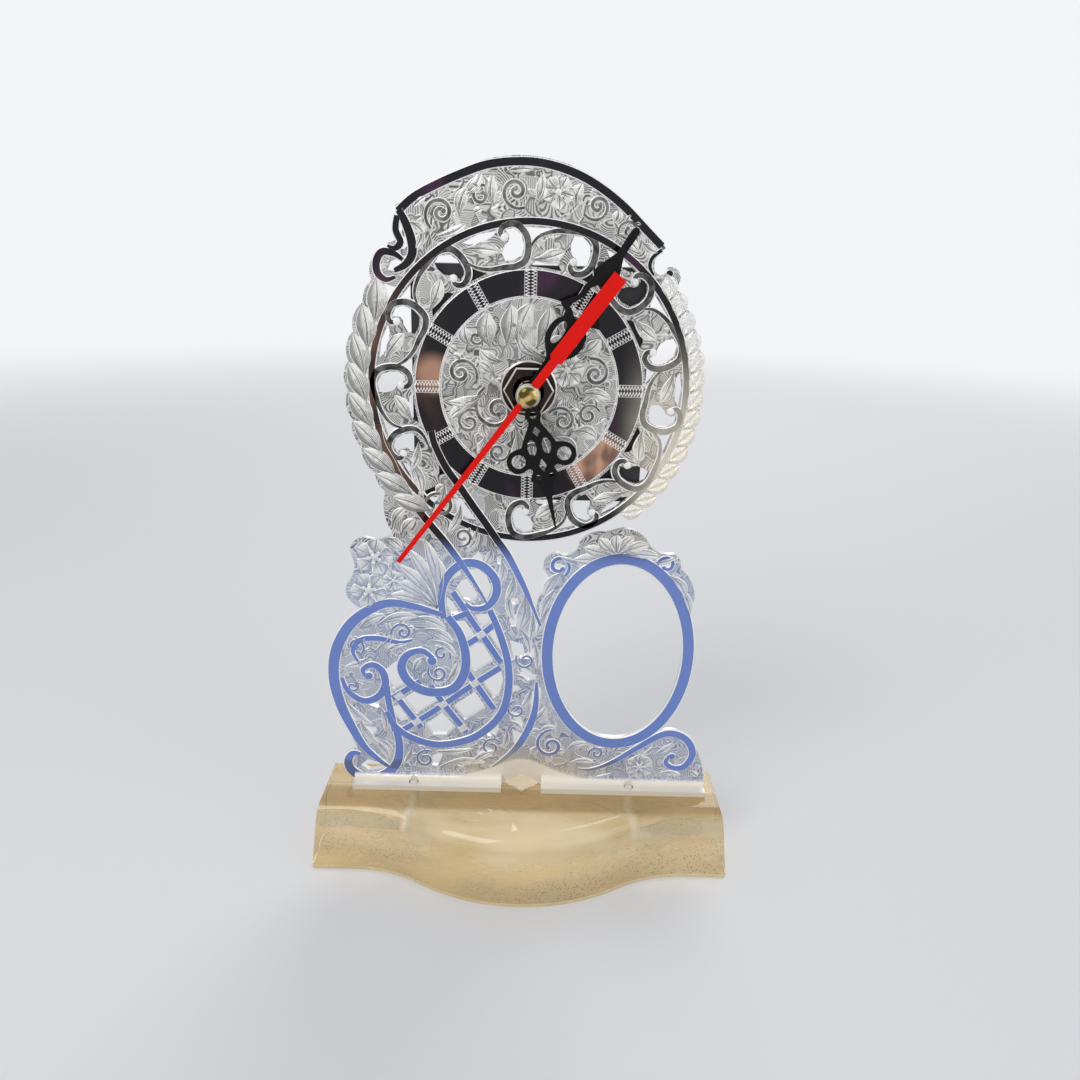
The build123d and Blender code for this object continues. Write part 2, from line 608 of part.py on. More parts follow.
minute_hand_rear = -minute_pipe_projection + hand_thickness
minute_hub_radius = 2.6
minute_body_shares = [
    (0.024, 0.02), (0.024, 0.20), (0.06, 0.245), (0.105, 0.31), (0.115, 0.38), (0.10, 0.445), (0.045, 0.505),
    (0.128, 0.50), (0.10, 0.60), (0.078, 0.72), (0.045, 0.80), (0.020, 0.85), (0.020, 1.0),
]
minute_hole_shares = [(0.056, 0.375, 0.066, 0.125), (-0.056, 0.375, 0.066, 0.125)]
with BuildPart() as minute_hand:
    with BuildSketch(hand_plane(minute_hand_rear, minute_hand_angle)):
        straight_face(hand_points(minute_hand_length, minute_body_shares))
        Circle(minute_hub_radius)
        for hole in minute_hole_shares:
            small_hole(*[share * minute_hand_length for share in hole])
        Circle(minute_pipe_radius, mode=Mode.SUBTRACT)
    extrude(amount=hand_thickness)
finish(minute_hand, "minute_hand")

second_hand_rear = -second_shaft_projection + 2 * hand_thickness
second_hub_radius = 2.0
second_needle_shares = [(0.016, 0.0), (0.011, 1.0)]
second_tail_shares = [(0.031, 0.0), (0.031, -0.29), (0.052, -0.31), (0.052, -1.0)]
with BuildPart() as second_hand:
    with BuildSketch(hand_plane(second_hand_rear, second_hand_angle)):
        straight_face(hand_points(second_hand_length, second_needle_shares))
        straight_face(hand_points(second_tail_length, second_tail_shares))
        Circle(second_hub_radius)
        RegularPolygon(second_shaft_radius + running_fit, hidden_sides, major_radius=False, mode=Mode.SUBTRACT)
    extrude(amount=hand_thickness)
finish(second_hand, "second_hand")

# Domed cap: a short rim and a dome of three slopes, with a blind hole for the end of the seconds shaft
cap_rear = second_hand_rear - hand_thickness
cap_rim = cap_height / 3
cap_hole_depth = second_shaft_projection + cap_rear + running_fit
cap_bore = second_shaft_radius + running_fit
dome_slope_shares = [(0.66, 0.86), (0.90, 0.50), (1.0, 0.0)]
with BuildPart() as second_hand_cap:
    with BuildSketch(Plane(origin=(0, cap_rear, dial_height), x_dir=(0, -1, 0), z_dir=(-1, 0, 0))):
        with BuildLine():
            Polyline((0, 0), (0, cap_diameter / 2), (cap_rim, cap_diameter / 2),
                     *[(cap_height * rise, cap_diameter / 2 * reach) for rise, reach in dome_slope_shares],
                     close=True)
        make_face()
    revolve(axis=Axis((0, 0, dial_height), (0, 1, 0)))
    with BuildSketch(facing(cap_rear)):
        RegularPolygon(cap_bore, hidden_sides, major_radius=False)
    extrude(amount=cap_hole_depth, mode=Mode.SUBTRACT)
finish(second_hand_cap, "second_hand_cap")


# Gear train. A tooth is a share of the pitch wide, and its tip and root are shares of the module
minute_pinion_teeth = 10
minute_wheel_teeth = 30
hour_pinion_teeth = 8
hour_wheel_teeth = 32
knob_teeth = 20
pinion_leaves = 6
centre_teeth = 48
third_teeth = 45
second_teeth = 30
fifth_teeth = 36
pinion_tooth_shares = (0.24, 0.5)
wheel_tooth_shares = (0.32, 0.4)
tooth_rise_share = 0.7
tooth_root_share = 1.5

# Centre distances, and the modules that follow where two meshes share one distance
minute_distance = minute_module * (minute_pinion_teeth + minute_wheel_teeth) / 2
hour_module = 2 * minute_distance / (hour_pinion_teeth + hour_wheel_teeth)
knob_distance = minute_module * (minute_wheel_teeth + knob_teeth) / 2
third_distance = third_module * (third_teeth + pinion_leaves) / 2
centre_module = 2 * third_distance / (centre_teeth + pinion_leaves)
fifth_distance = second_module * (second_teeth + pinion_leaves) / 2
rotor_distance = rotor_module * (fifth_teeth + pinion_leaves) / 2
minute_arbor_angle = 150.0
knob_arbor_angle = 165.0
third_arbor_angle = 30.0
fifth_arbor_angle = 100.0
rotor_arbor_angle = 60.0


def from_spot(place, direction, distance):
    return (place[0] + distance * cos(radians(direction)), place[1] + distance * sin(radians(direction)))


dial_axis = (0, 0)
minute_place = from_spot(dial_axis, minute_arbor_angle, minute_distance)
knob_place = from_spot(minute_place, knob_arbor_angle, knob_distance)
third_place = from_spot(dial_axis, third_arbor_angle, third_distance)
fifth_place = from_spot(dial_axis, fifth_arbor_angle, fifth_distance)
rotor_place = from_spot(fifth_place, rotor_arbor_angle, rotor_distance)


def meshed(phase, teeth, direction, other_teeth):
    """The phase that lets a gear mesh with one whose phase, teeth and direction to it are given."""
    pitch = degrees_in_turn / teeth
    other_pitch = degrees_in_turn / other_teeth
    lead = (direction - phase) / pitch % 1
    return direction + degrees_in_turn / 2 + (lead + 1 / 2) * other_pitch


def gear(rear, front, centre, teeth, module, phase, tooth_shares):
    """Adds a gear between two depths to the part that is open."""
    pitch = degrees_in_turn / teeth
    pitch_radius = module * teeth / 2
    tip_radius = pitch_radius + tooth_rise_share * module
    root_radius = pitch_radius - tooth_root_share * module
    tip_half = pitch / 2 * tooth_shares[0] * tooth_shares[1] * pitch_radius / tip_radius
    points = []
    for index in range(teeth):
        turn = phase + index * pitch
        points.append(from_spot(centre, turn - tip_half, tip_radius))
        points.append(from_spot(centre, turn + tip_half, tip_radius))
        points.append(from_spot(centre, turn + pitch / 2, root_radius))
    with BuildSketch(facing(rear)) as outline:
        straight_face(points)
    extrude(outline.sketch, amount=rear - front)


# Levels of the train from the floor of the case to the bridge
hour_wheel_front = bush_flange_back + seat_gap
hour_wheel_rear = hour_wheel_front + wheel_thickness
minute_pinion_front = hour_wheel_rear + seat_gap
minute_pinion_rear = minute_pinion_front + pinion_width
minute_wheel_front = minute_pinion_front + (pinion_width - wheel_thickness) / 2
minute_wheel_rear = minute_wheel_front + wheel_thickness
centre_wheel_front = minute_pinion_rear + seat_gap
centre_wheel_rear = centre_wheel_front + wheel_thickness
minute_pipe_rear = centre_wheel_rear + seat_gap
third_wheel_front = minute_pipe_rear + 2 * seat_gap
third_wheel_rear = third_wheel_front + wheel_thickness
second_wheel_front = third_wheel_rear + wheel_thickness
second_wheel_rear = second_wheel_front + wheel_thickness
fifth_wheel_front = second_wheel_rear + 2 * seat_gap
fifth_wheel_rear = fifth_wheel_front + wheel_thickness
bridge_front = fifth_wheel_rear + 2 * seat_gap
bridge_rear = bridge_front + bridge_thickness
stator_rear = second_wheel_front
stator_front = stator_rear - stator_thickness

pivot_depth = case_floor / 2


def pivot(rear, front, radius, centre):
    """Adds a thin arbor between two depths to the part that is open."""
    with BuildSketch(facing(rear)) as outline:
        with Locations(centre):
            RegularPolygon(radius, hidden_sides)
    extrude(outline.sketch, amount=rear - front)


def pivot_hole(rear, front, radius, centre):
    with BuildSketch(facing(rear)) as outline:
        with Locations(centre):
            RegularPolygon(radius + running_fit, hidden_sides, major_radius=False)
    extrude(outline.sketch, amount=rear - front, mode=Mode.SUBTRACT)


# Motion work: hour wheel and its pipe, minute pinion and its pipe, minute wheel and setting knob
minute_phase_angle = meshed(0, minute_pinion_teeth, minute_arbor_angle, minute_wheel_teeth)
knob_phase_angle = meshed(minute_phase_angle, minute_wheel_teeth, knob_arbor_angle, knob_teeth)
hour_phase_angle = meshed(minute_phase_angle, hour_pinion_teeth, minute_arbor_angle + degrees_in_turn / 2,
                          hour_wheel_teeth)
with BuildPart() as hour_wheel:
    disc(hour_wheel_rear, -hour_pipe_projection, hour_pipe_radius)
    gear(hour_wheel_rear, hour_wheel_front, dial_axis, hour_wheel_teeth, hour_module, hour_phase_angle,
         wheel_tooth_shares)
    pivot_hole(hour_wheel_rear, -hour_pipe_projection, minute_pipe_radius, dial_axis)
finish(hour_wheel, "hour_wheel")

with BuildPart() as minute_pipe:
    disc(minute_pipe_rear, -minute_pipe_projection, minute_pipe_radius)
    gear(minute_pinion_rear, minute_pinion_front, dial_axis, minute_pinion_teeth, minute_module, 0,
         pinion_tooth_shares)
    pivot_hole(minute_pipe_rear, -minute_pipe_projection, second_shaft_radius, dial_axis)
finish(minute_pipe, "minute_pipe")

with BuildPart() as minute_wheel:
    gear(minute_wheel_rear, minute_wheel_front, minute_place, minute_wheel_teeth, minute_module,
         minute_phase_angle, wheel_tooth_shares)
    gear(minute_wheel_front, hour_wheel_front, minute_place, hour_pinion_teeth, hour_module, minute_phase_angle,
         pinion_tooth_shares)
    pivot_hole(minute_wheel_rear, hour_wheel_front, stub_radius, minute_place)
finish(minute_wheel, "minute_wheel")

knob_front = case_back + seat_gap
ribs_on_knob = 14
rib_depth_share = 0.06
with BuildPart() as set_knob:
    disc(knob_front, case_inside + seat_gap, knob_stem_radius, centre=knob_place)
    gear(minute_wheel_rear, minute_wheel_front, knob_place, knob_teeth, minute_module, knob_phase_angle,
         wheel_tooth_shares)
    with BuildSketch(facing(knob_front + knob_height)):
        rib_pitch = degrees_in_turn / ribs_on_knob
        rim = []
        for rib in range(ribs_on_knob):
            rim.append(from_spot(knob_place, rib * rib_pitch, knob_diameter / 2))
            groove = knob_diameter / 2 * (1 - rib_depth_share)
            rim.append(from_spot(knob_place, (rib + 1 / 2) * rib_pitch, groove))
        straight_face(rim)
    extrude(amount=knob_height)
finish(set_knob, "set_knob")

# Going train: centre wheel on the minute pipe, third wheel, seconds wheel, fifth wheel and rotor
centre_phase_angle = 0
third_phase_angle = meshed(centre_phase_angle, centre_teeth, third_arbor_angle, pinion_leaves)
second_phase_angle = meshed(third_phase_angle, third_teeth, third_arbor_angle + degrees_in_turn / 2, pinion_leaves)
fifth_phase_angle = meshed(second_phase_angle, second_teeth, fifth_arbor_angle, pinion_leaves)
rotor_phase_angle = meshed(fifth_phase_angle, fifth_teeth, rotor_arbor_angle, pinion_leaves)
with BuildPart() as center_wheel:
    gear(centre_wheel_rear, centre_wheel_front, dial_axis, centre_teeth, centre_module, centre_phase_angle,
         wheel_tooth_shares)
    pivot_hole(centre_wheel_rear, centre_wheel_front, minute_pipe_radius, dial_axis)
finish(center_wheel, "center_wheel")

with BuildPart() as third_wheel:
    gear(third_wheel_rear, third_wheel_front, third_place, third_teeth, third_module, third_phase_angle,
         wheel_tooth_shares)
    gear(third_wheel_front, minute_pinion_rear, third_place, pinion_leaves, centre_module, third_phase_angle,
         pinion_tooth_shares)
    disc(bridge_rear, case_inside - pivot_depth, pivot_radius, centre=third_place)
finish(third_wheel, "third_wheel")

with BuildPart() as second_wheel:
    gear(second_wheel_rear, second_wheel_front, dial_axis, second_teeth, second_module, second_phase_angle,
         wheel_tooth_shares)
    gear(second_wheel_front, minute_pipe_rear + seat_gap, dial_axis, pinion_leaves, third_module,
         second_phase_angle, pinion_tooth_shares)
    pivot(bridge_rear, -second_shaft_projection, second_shaft_radius, dial_axis)
finish(second_wheel, "second_wheel")

with BuildPart() as fifth_wheel:
    gear(fifth_wheel_rear, fifth_wheel_front, fifth_place, fifth_teeth, rotor_module, fifth_phase_angle,
         wheel_tooth_shares)
    gear(fifth_wheel_front, second_wheel_front - seat_gap, fifth_place, pinion_leaves, second_module,
         fifth_phase_angle, pinion_tooth_shares)
    disc(bridge_rear, case_inside - pivot_depth, pivot_radius, centre=fifth_place)
finish(fifth_wheel, "fifth_wheel")

rotor_pinion_front = fifth_wheel_front - seat_gap
with BuildPart() as rotor:
    gear(fifth_wheel_rear + seat_gap, rotor_pinion_front, rotor_place, pinion_leaves, rotor_module,
         rotor_phase_angle, pinion_tooth_shares)
    pivot(rotor_pinion_front, stator_front - wheel_thickness, magnet_radius, rotor_place)
    pivot(bridge_rear, case_inside - pivot_depth, pivot_radius, rotor_place)
finish(rotor, "rotor")

# Case of the movement: floor, walls, rib above the battery bay, posts and the stub of the minute wheel
half_case = case_width / 2
inner_half = half_case - case_wall
bay_width = battery_diameter + 2 * bay_clearance
bay_top = bay_width - inner_half
rib_top = bay_top + case_wall
coil_height = rotor_place[1] + magnet_radius + stator_margin + coil_radius
coil_left = rotor_place[0] - coil_length / 2
coil_right = rotor_place[0] + coil_length / 2
leg_top = coil_height + coil_radius / 2
upper_post_inset = leg_width + seat_gap + post_width / 2
upper_post_height = rotor_place[1] + magnet_radius
post_places = [(-lower_post_spacing / 2, -lower_post_drop), (lower_post_spacing / 2, -lower_post_drop),
               (coil_left - upper_post_inset, upper_post_height), (coil_right + upper_post_inset, upper_post_height)]
board_left = inner_half - seat_gap - board_width
board_bottom = rib_top + seat_gap
board_top = board_bottom + board_height
board_front = fifth_wheel_front
board_post_places = [(board_left + post_width, board_bottom + post_width),
                     (board_left + post_width, board_top - post_width)]


def post(rear, centre, width):
    """Adds a square post that stands on the floor of the case."""
    block(rear, case_inside, centre[0] - width / 2, centre[0] + width / 2, centre[1] - width / 2,
          centre[1] + width / 2)


with BuildPart() as movement_case:
    block(cover_front, case_front, -half_case, half_case, -half_case, half_case)
    block(case_back, cover_front, -half_case, half_case, -half_case, bay_top)
    fillet(movement_case.edges().filter_by(Axis.Y).filter_by(lambda edge: abs(edge.center().X) > inner_half
           and abs(edge.center().Z - dial_height) > inner_half), case_corner_radius)
    block(cover_front, case_inside, -inner_half, inner_half, rib_top, inner_half, Mode.SUBTRACT)
    block(case_back, case_inside, -inner_half, inner_half, -inner_half, bay_top, Mode.SUBTRACT)
    for place in post_places:
        post(bridge_front, place, post_width)
    for place in board_post_places:
        post(board_front, place, post_width)
    for across in (coil_left - leg_width / 2, coil_right + leg_width / 2):
        post(stator_front, (across, leg_top - leg_width / 2), leg_width)
    disc(minute_wheel_rear + seat_gap, case_inside, stub_radius, centre=minute_place)
    disc(case_inside, case_front, bush_radius + running_fit, mode=Mode.SUBTRACT)
    for place in (third_place, fifth_place, rotor_place):
        pivot_hole(case_inside, case_inside - pivot_depth - seat_gap / 2, pivot_radius, place)
finish(movement_case, "movement_case")

with BuildPart() as movement_cover:
    block(case_back, cover_front, -half_case, half_case, bay_top, half_case)
    fillet(movement_cover.edges().filter_by(Axis.Y).group_by(Axis.Z)[-1], case_corner_radius)
    pivot_hole(case_back, cover_front, knob_stem_radius, knob_place)
finish(movement_cover, "movement_cover")

bridge_margin = post_width / 2 + case_wall / 2
bridge_left = post_places[0][0] - bridge_margin
bridge_right = post_places[1][0] + bridge_margin
bridge_bottom = post_places[0][1] - bridge_margin
bridge_top = post_places[2][1] + bridge_margin
with BuildPart() as movement_bridge:
    block(bridge_rear, bridge_front, bridge_left, bridge_right, bridge_bottom, bridge_top)
    for place in (third_place, fifth_place, rotor_place):
        pivot_hole(bridge_rear, bridge_front, pivot_radius, place)
    pivot_hole(bridge_rear, bridge_front, second_shaft_radius, dial_axis)
finish(movement_bridge, "movement_bridge")

# Stepping motor: stator, its core and the coil wound on a bobbin
stator_bottom = rotor_place[1] - magnet_radius - stator_margin
stator_top = rotor_place[1] + magnet_radius + stator_margin
core_rear = stator_rear + stator_thickness
with BuildPart() as stator:
    block(stator_rear, stator_front, coil_left - leg_width, coil_right + leg_width, stator_bottom, stator_top)
    for left in (coil_left - leg_width, coil_right):
        block(stator_rear, stator_front, left, left + leg_width, stator_top, leg_top)
    disc(stator_rear, stator_front, magnet_radius + stator_gap, centre=rotor_place, mode=Mode.SUBTRACT)
    block(core_rear, stator_rear, coil_left - leg_width, coil_right + leg_width, leg_top - core_width, leg_top)
finish(stator, "stator")

coil_depth = (stator_rear + core_rear) / 2
core_middle = leg_top - core_width / 2
bobbin_flange = case_wall / 2
with BuildPart() as coil:
    for left, right, radius in ((coil_left + seat_gap, coil_left + seat_gap + bobbin_flange, coil_radius),
                                (coil_left + seat_gap + bobbin_flange, coil_right - seat_gap - bobbin_flange,
                                 coil_radius - bobbin_flange),
                                (coil_right - seat_gap - bobbin_flange, coil_right - seat_gap, coil_radius)):
        with BuildSketch(Plane(origin=(left, coil_depth, dial_height + core_middle), x_dir=(0, 1, 0),
                               z_dir=(1, 0, 0))):
            RegularPolygon(radius, hidden_sides)
        extrude(amount=right - left)
    block(core_rear + running_fit, stator_rear - running_fit, coil_left, coil_right,
          leg_top - core_width - running_fit, leg_top + running_fit, Mode.SUBTRACT)
finish(coil, "coil")

# Circuit board with its crystal
board_rear = board_front + board_thickness
crystal_depth = board_rear + seat_gap / 2 + crystal_diameter / 2
with BuildPart() as circuit_board:
    block(board_rear, board_front, board_left, inner_half - seat_gap, board_bottom, board_top)
finish(circuit_board, "circuit_board")

crystal_across = (board_left + inner_half) / 2
with BuildPart() as quartz_crystal:
    with BuildSketch(Plane.XY.offset(dial_height - crystal_length / 2)):
        with Locations((crystal_across, crystal_depth)):
            RegularPolygon(crystal_diameter / 2, hidden_sides)
    extrude(amount=crystal_length)
finish(quartz_crystal, "quartz_crystal")

# Battery and the two contact springs at the ends of its bay
battery_depth = case_inside + seat_gap + battery_diameter / 2
battery_drop = bay_top - bay_width / 2
with BuildPart() as battery:
    with BuildSketch(Plane(origin=(-battery_length / 2, battery_depth, dial_height + battery_drop),
                           x_dir=(0, 1, 0), z_dir=(1, 0, 0))) as end_face:
        Circle(battery_diameter / 2)
    extrude(amount=battery_length - battery_nub_length)
    with BuildSketch(Plane(origin=(battery_length / 2, battery_depth, dial_height + battery_drop),
                           x_dir=(0, 1, 0), z_dir=(-1, 0, 0))):
        Circle(battery_nub_diameter / 2)
    extrude(amount=battery_nub_length)
finish(battery, "battery")


def contact_profile(hand):
    """Adds the bent section of a contact spring at one end of the bay."""
    near = hand * (battery_length / 2 + seat_gap)
    near_rear = near + hand * contact_thickness
    wall = hand * inner_half
    low = battery_depth - contact_width / 2
    high = battery_depth + contact_width / 2
    straight_face([(near, low), (near, high), (wall, high), (wall, high - contact_thickness),
                   (near_rear, high - contact_thickness), (near_rear, low + contact_thickness),
                   (wall, low + contact_thickness), (wall, low)])


for hand, name in ((1, "contact_positive"), (-1, "contact_negative")):
    with BuildPart() as contact:
        with BuildSketch(Plane.XY.offset(dial_height + battery_drop - contact_height / 2)):
            contact_profile(hand)
        extrude(amount=contact_height)
    finish(contact, name)
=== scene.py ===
from math import cos, hypot, log, pi, radians, sin, sqrt

import bmesh
import bpy
from mathutils import Matrix, Vector


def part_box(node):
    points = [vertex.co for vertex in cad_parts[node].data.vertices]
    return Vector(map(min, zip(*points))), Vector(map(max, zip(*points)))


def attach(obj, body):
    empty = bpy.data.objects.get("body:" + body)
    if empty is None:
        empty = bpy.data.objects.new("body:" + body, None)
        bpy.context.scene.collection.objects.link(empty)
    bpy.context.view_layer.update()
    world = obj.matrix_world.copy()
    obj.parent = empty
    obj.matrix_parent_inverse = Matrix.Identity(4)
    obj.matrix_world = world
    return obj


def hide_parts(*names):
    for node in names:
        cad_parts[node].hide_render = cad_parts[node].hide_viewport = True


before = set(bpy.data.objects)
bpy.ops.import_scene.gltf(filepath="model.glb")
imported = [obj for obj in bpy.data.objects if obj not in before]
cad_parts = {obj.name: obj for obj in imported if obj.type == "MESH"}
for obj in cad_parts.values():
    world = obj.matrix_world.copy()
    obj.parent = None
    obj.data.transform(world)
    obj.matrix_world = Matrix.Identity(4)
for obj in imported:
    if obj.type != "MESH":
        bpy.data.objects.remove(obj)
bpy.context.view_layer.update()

# Lengths below are in millimetres, as a maker would give them, and this turns them into metres
MM = 0.001

# Places that come from the frame: the dial's axis, the base and the sheet
washer_low, washer_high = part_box("front_washer")
dial_height = (washer_low[2] + washer_high[2]) / 2 / MM
pad_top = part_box("base_pad")[1][2] / MM
base_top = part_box("acrylic_base")[1][2] / MM
sheet_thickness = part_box("engraved_plate")[1][1] / MM

# Marks of the finishes in the engraved work, in the order of relief_finishes
POLISHED, BRIGHT, HATCHED, FROSTED, DARK_MIRROR, SATIN = range(6)


# Shader maths
class Shade:
    """A socket of a node tree. Sums written with it add Math nodes."""

    def __init__(self, tree, socket):
        self.tree = tree
        self.socket = socket

    def node(self, kind, inputs, output=0, **settings):
        """Adds any node: its settings first, then the values or links of its sockets."""
        node = self.tree.nodes.new(kind)
        for name, value in settings.items():
            setattr(node, name, value)
        for key, value in inputs.items():
            if isinstance(value, Shade):
                self.tree.links.new(value.socket, node.inputs[key])
            else:
                node.inputs[key].default_value = value
        return Shade(self.tree, node.outputs[output])

    def math(self, operation, *others):
        inputs = {0: self}
        for index, other in enumerate(others):
            inputs[index + 1] = other
        return self.node("ShaderNodeMath", inputs, operation=operation)

    def __add__(self, other):
        return self.math("ADD", other)

    __radd__ = __add__

    def __mul__(self, other):
        return self.math("MULTIPLY", other)

    __rmul__ = __mul__

    def __sub__(self, other):
        return self.math("SUBTRACT", other)

    def __rsub__(self, other):
        return self.node("ShaderNodeMath", {0: other, 1: self}, operation="SUBTRACT")

    def __truediv__(self, other):
        return self.math("DIVIDE", other)

    def sine(self):
        return self.math("SINE")

    def size(self):
        """The value without its sign."""
        return self.math("ABSOLUTE")

    def step(self, low, high):
        """0 below low and 1 above high, with a smooth rise between them. High may be under low."""
        return self.node("ShaderNodeMapRange", {0: self, 1: low, 2: high, 3: 0.0, 4: 1.0},
                         interpolation_type="SMOOTHSTEP")

    def ramp(self, low, high):
        """A step on a length, whose two ends are given in millimetres."""
        return self.step(low * MM, high * MM)

    def part(self, axis):
        """One of the three numbers of a place or a colour: 0, 1 or 2."""
        return self.node("ShaderNodeSeparateXYZ", {0: self}, output=axis)

    def distance(self, point):
        """How far this place is from a point, in metres."""
        return self.node("ShaderNodeVectorMath", {0: self, 1: point}, output=1, operation="DISTANCE")

    def noise(self, grain, detail=2.0, stretch=(1, 1, 1)):
        """Soft noise whose grain is given in millimetres, stretched along an axis where asked."""
        place = self.node("ShaderNodeMapping", {0: self, 3: stretch})
        return self.node("ShaderNodeTexNoise", {"Vector": place, "Scale": 1 / (grain * MM), "Detail": detail})

    def cells(self, grain, feature="F1", output="Distance"):
        """A field of cells whose size is given in millimetres."""
        inputs = {"Vector": self, "Scale": 1 / (grain * MM)}
        return self.node("ShaderNodeTexVoronoi", inputs, output, feature=feature)

    def blend(self, first, second):
        """The first colour where this is 0 and the second where it is 1."""
        inputs = {0: self, 6: colour(first), 7: colour(second)}
        return self.node("ShaderNodeMix", inputs, output=2, data_type="RGBA")

    def bump(self, depth):
        """A normal from this height, whose depth is given in millimetres."""
        return self.node("ShaderNodeBump", {"Height": self, "Distance": depth * MM})


def colour(value):
    """A colour as a socket takes it: a link, or four numbers."""
    return value if isinstance(value, Shade) else (*value, 1.0)


def finish(name, constants, look):
    """A material. Constants are set on the shader's own sockets, and the look gives what varies."""
    material = bpy.data.materials.new(name)
    material.use_nodes = True
    tree = material.node_tree
    shader = tree.nodes["Principled BSDF"]
    for socket, value in constants.items():
        shader.inputs[socket].default_value = value
    texture = tree.nodes.new("ShaderNodeTexCoord")
    place = Shade(tree, texture.outputs["Object"])
    across = Shade(tree, texture.outputs["UV"])
    for socket, value in look(place, across).items():
        tree.links.new(value.socket, shader.inputs[socket])
    return material


# Tones of the silver, with painted reflections in them: near-black with copper glows on the upper sheet, blue
# on the lower one and cream on the warm side, and painted shade in the cuts
black_mirror = (0.012, 0.011, 0.014)
brown_mirror = (0.16, 0.085, 0.06)
plum_mirror = (0.05, 0.02, 0.045)
blue_mirror = (0.19, 0.28, 0.66)
copper_mirror = (0.72, 0.40, 0.27)
cream_mirror = (0.80, 0.74, 0.62)
dark_cut_shade = (0.030, 0.027, 0.024)
blue_cut_reflection = (0.20, 0.27, 0.46)
warm_cut_reflection = (0.55, 0.47, 0.36)
silver_light = (0.93, 0.92, 0.89)
lower_light = (0.85, 0.85, 0.86)
warm_light = (0.93, 0.88, 0.76)
foot_cream_reflection = (0.94, 0.88, 0.77)
band_black_reflection = (0.045, 0.043, 0.042)
band_grey_reflection = (0.17, 0.165, 0.16)
satin_black = (0.13, 0.125, 0.12)
satin_grey = (0.34, 0.33, 0.32)
satin_blue_reflection = (0.26, 0.33, 0.62)
cut_silver = (0.90, 0.90, 0.88)
cut_white = (1.0, 1.0, 0.98)
field_outline = (0.88, 0.87, 0.85)
brushed_dark = (0.55, 0.55, 0.56)
brushed_pale = (0.78, 0.78, 0.79)

# Heights between which the painted near-black reflections of the upper sheet give way to the painted blue
# ones of the lower sheet
black_bottom = 92.0
blue_top = 84.0

# Size of one engraved field
field_grain = 3.7


def blue_reflection_share(place):
    """1 on the lower sheet and 0 on the dial, with the change on the two straps; it brings in the painted
    blue reflection.
    """
    return place.part(2).ramp(black_bottom, blue_top)


def warm_share(place):
    """Where the dial's right side and the middle of the foot mirror something pale and warm."""
    across, up = place.part(0), place.part(2)
    right = across.ramp(20, 34) * up.ramp(146, 112) * up.ramp(86, 100)
    middle = across.size().ramp(30, 8) * up.ramp(34, 21)
    return right.math("MAXIMUM", middle)


def glow(place, across, up, reach, core):
    """1 round a point given from the dial's centre, fading to 0 between two distances."""
    return place.distance((across * MM, 0.0, (dial_height + up) * MM)).ramp(reach, core)


def painted_reflection_tone(place):
    """What the polished bands mirror, painted into their colour: painted reflections of plum, brown and
    copper on near-black, blue below and cream on the warm side.
    """
    # Painted reflections: plum streaks, brown streaks on the left and two copper patches on the upper sheet
    streaks = place.noise(9.0, detail=1.0, stretch=(1, 1, 0.5))
    left = place.part(0).ramp(-18, -36) * place.part(2).ramp(158, 138)
    upper = streaks.step(0.58, 0.74).blend(black_mirror, plum_mirror)
    upper = (left * streaks.step(0.36, 0.56)).blend(upper, brown_mirror)
    flicker = place.noise(3.4, detail=1.0, stretch=(1, 1, 0.5)).step(0.36, 0.62)
    upper = (glow(place, 16.5, -17.0, 8.5, 4.5) * (0.3 + 0.7 * flicker)).blend(upper, copper_mirror)
    upper = (glow(place, -22.8, 3.0, 6.0, 2.0) * 0.6).blend(upper, copper_mirror)
    tone = blue_reflection_share(place).blend(upper, blue_mirror)
    return warm_share(place).blend(tone, cream_mirror)


def foot_share(place):
    """1 along the plain foot of the sheet, whose upper edge rises to a point over the notch: there the sheet
    takes a painted cream reflection.
    """
    middle = place.part(0).size().ramp(22, 0)
    return (place.part(2) - middle * middle * (5.5 * MM)).ramp(22.2, 21.2)


def cut_shade_tone(place):
    """The dark of the fine cuts, painted shade: near-black, with a painted blue reflection on the lower sheet
    and a painted warm one on the warm side.
    """
    tone = blue_reflection_share(place).blend(dark_cut_shade, blue_cut_reflection)
    return (warm_share(place) * 0.8).blend(tone, warm_cut_reflection)


def light_tone(place):
    """The bright silver between the fine cuts, with a slightly cooler painted reflection on the lower sheet
    and a painted warm one on the warm side.
    """
    tone = blue_reflection_share(place).blend(silver_light, lower_light)
    return warm_share(place).blend(tone, warm_light)


def polished_look(place, across):
    """Polished silver whose colour holds painted reflections, with fine scuffs and a slow ripple."""
    scuffs = place.noise(0.7, detail=4.0)
    return {
        "Base Color": painted_reflection_tone(place),
        "Roughness": 0.10 + 0.14 * scuffs.step(0.45, 0.75),
        "Normal": place.noise(14.0, detail=1.0).bump(0.9),
    }


def grey_band_look(place, across):
    """The scroll bands of the dial ring: polished, with a painted dark reflection in patches of black and
    dark grey, painted blue on the lower sheet and cream on the warm side.
    """
    wear = place.noise(2.2, detail=3.0)
    tone = wear.step(0.35, 0.65).blend(band_black_reflection, band_grey_reflection)
    tone = blue_reflection_share(place).blend(tone, blue_mirror)
    tone = (warm_share(place) * 0.6).blend(tone, cream_mirror)
    return {"Base Color": tone, "Roughness": 0.18 + 0.15 * wear, "Normal": place.noise(5.0).bump(0.3)}


def bright_look(place, across):
    """The bright side of a single cut."""
    chatter = place.noise(0.25, detail=1.0)
    tone = chatter.step(0.3, 0.7).blend(cut_silver, cut_white)
    return {"Base Color": tone, "Roughness": 0.30 + 0.15 * chatter}


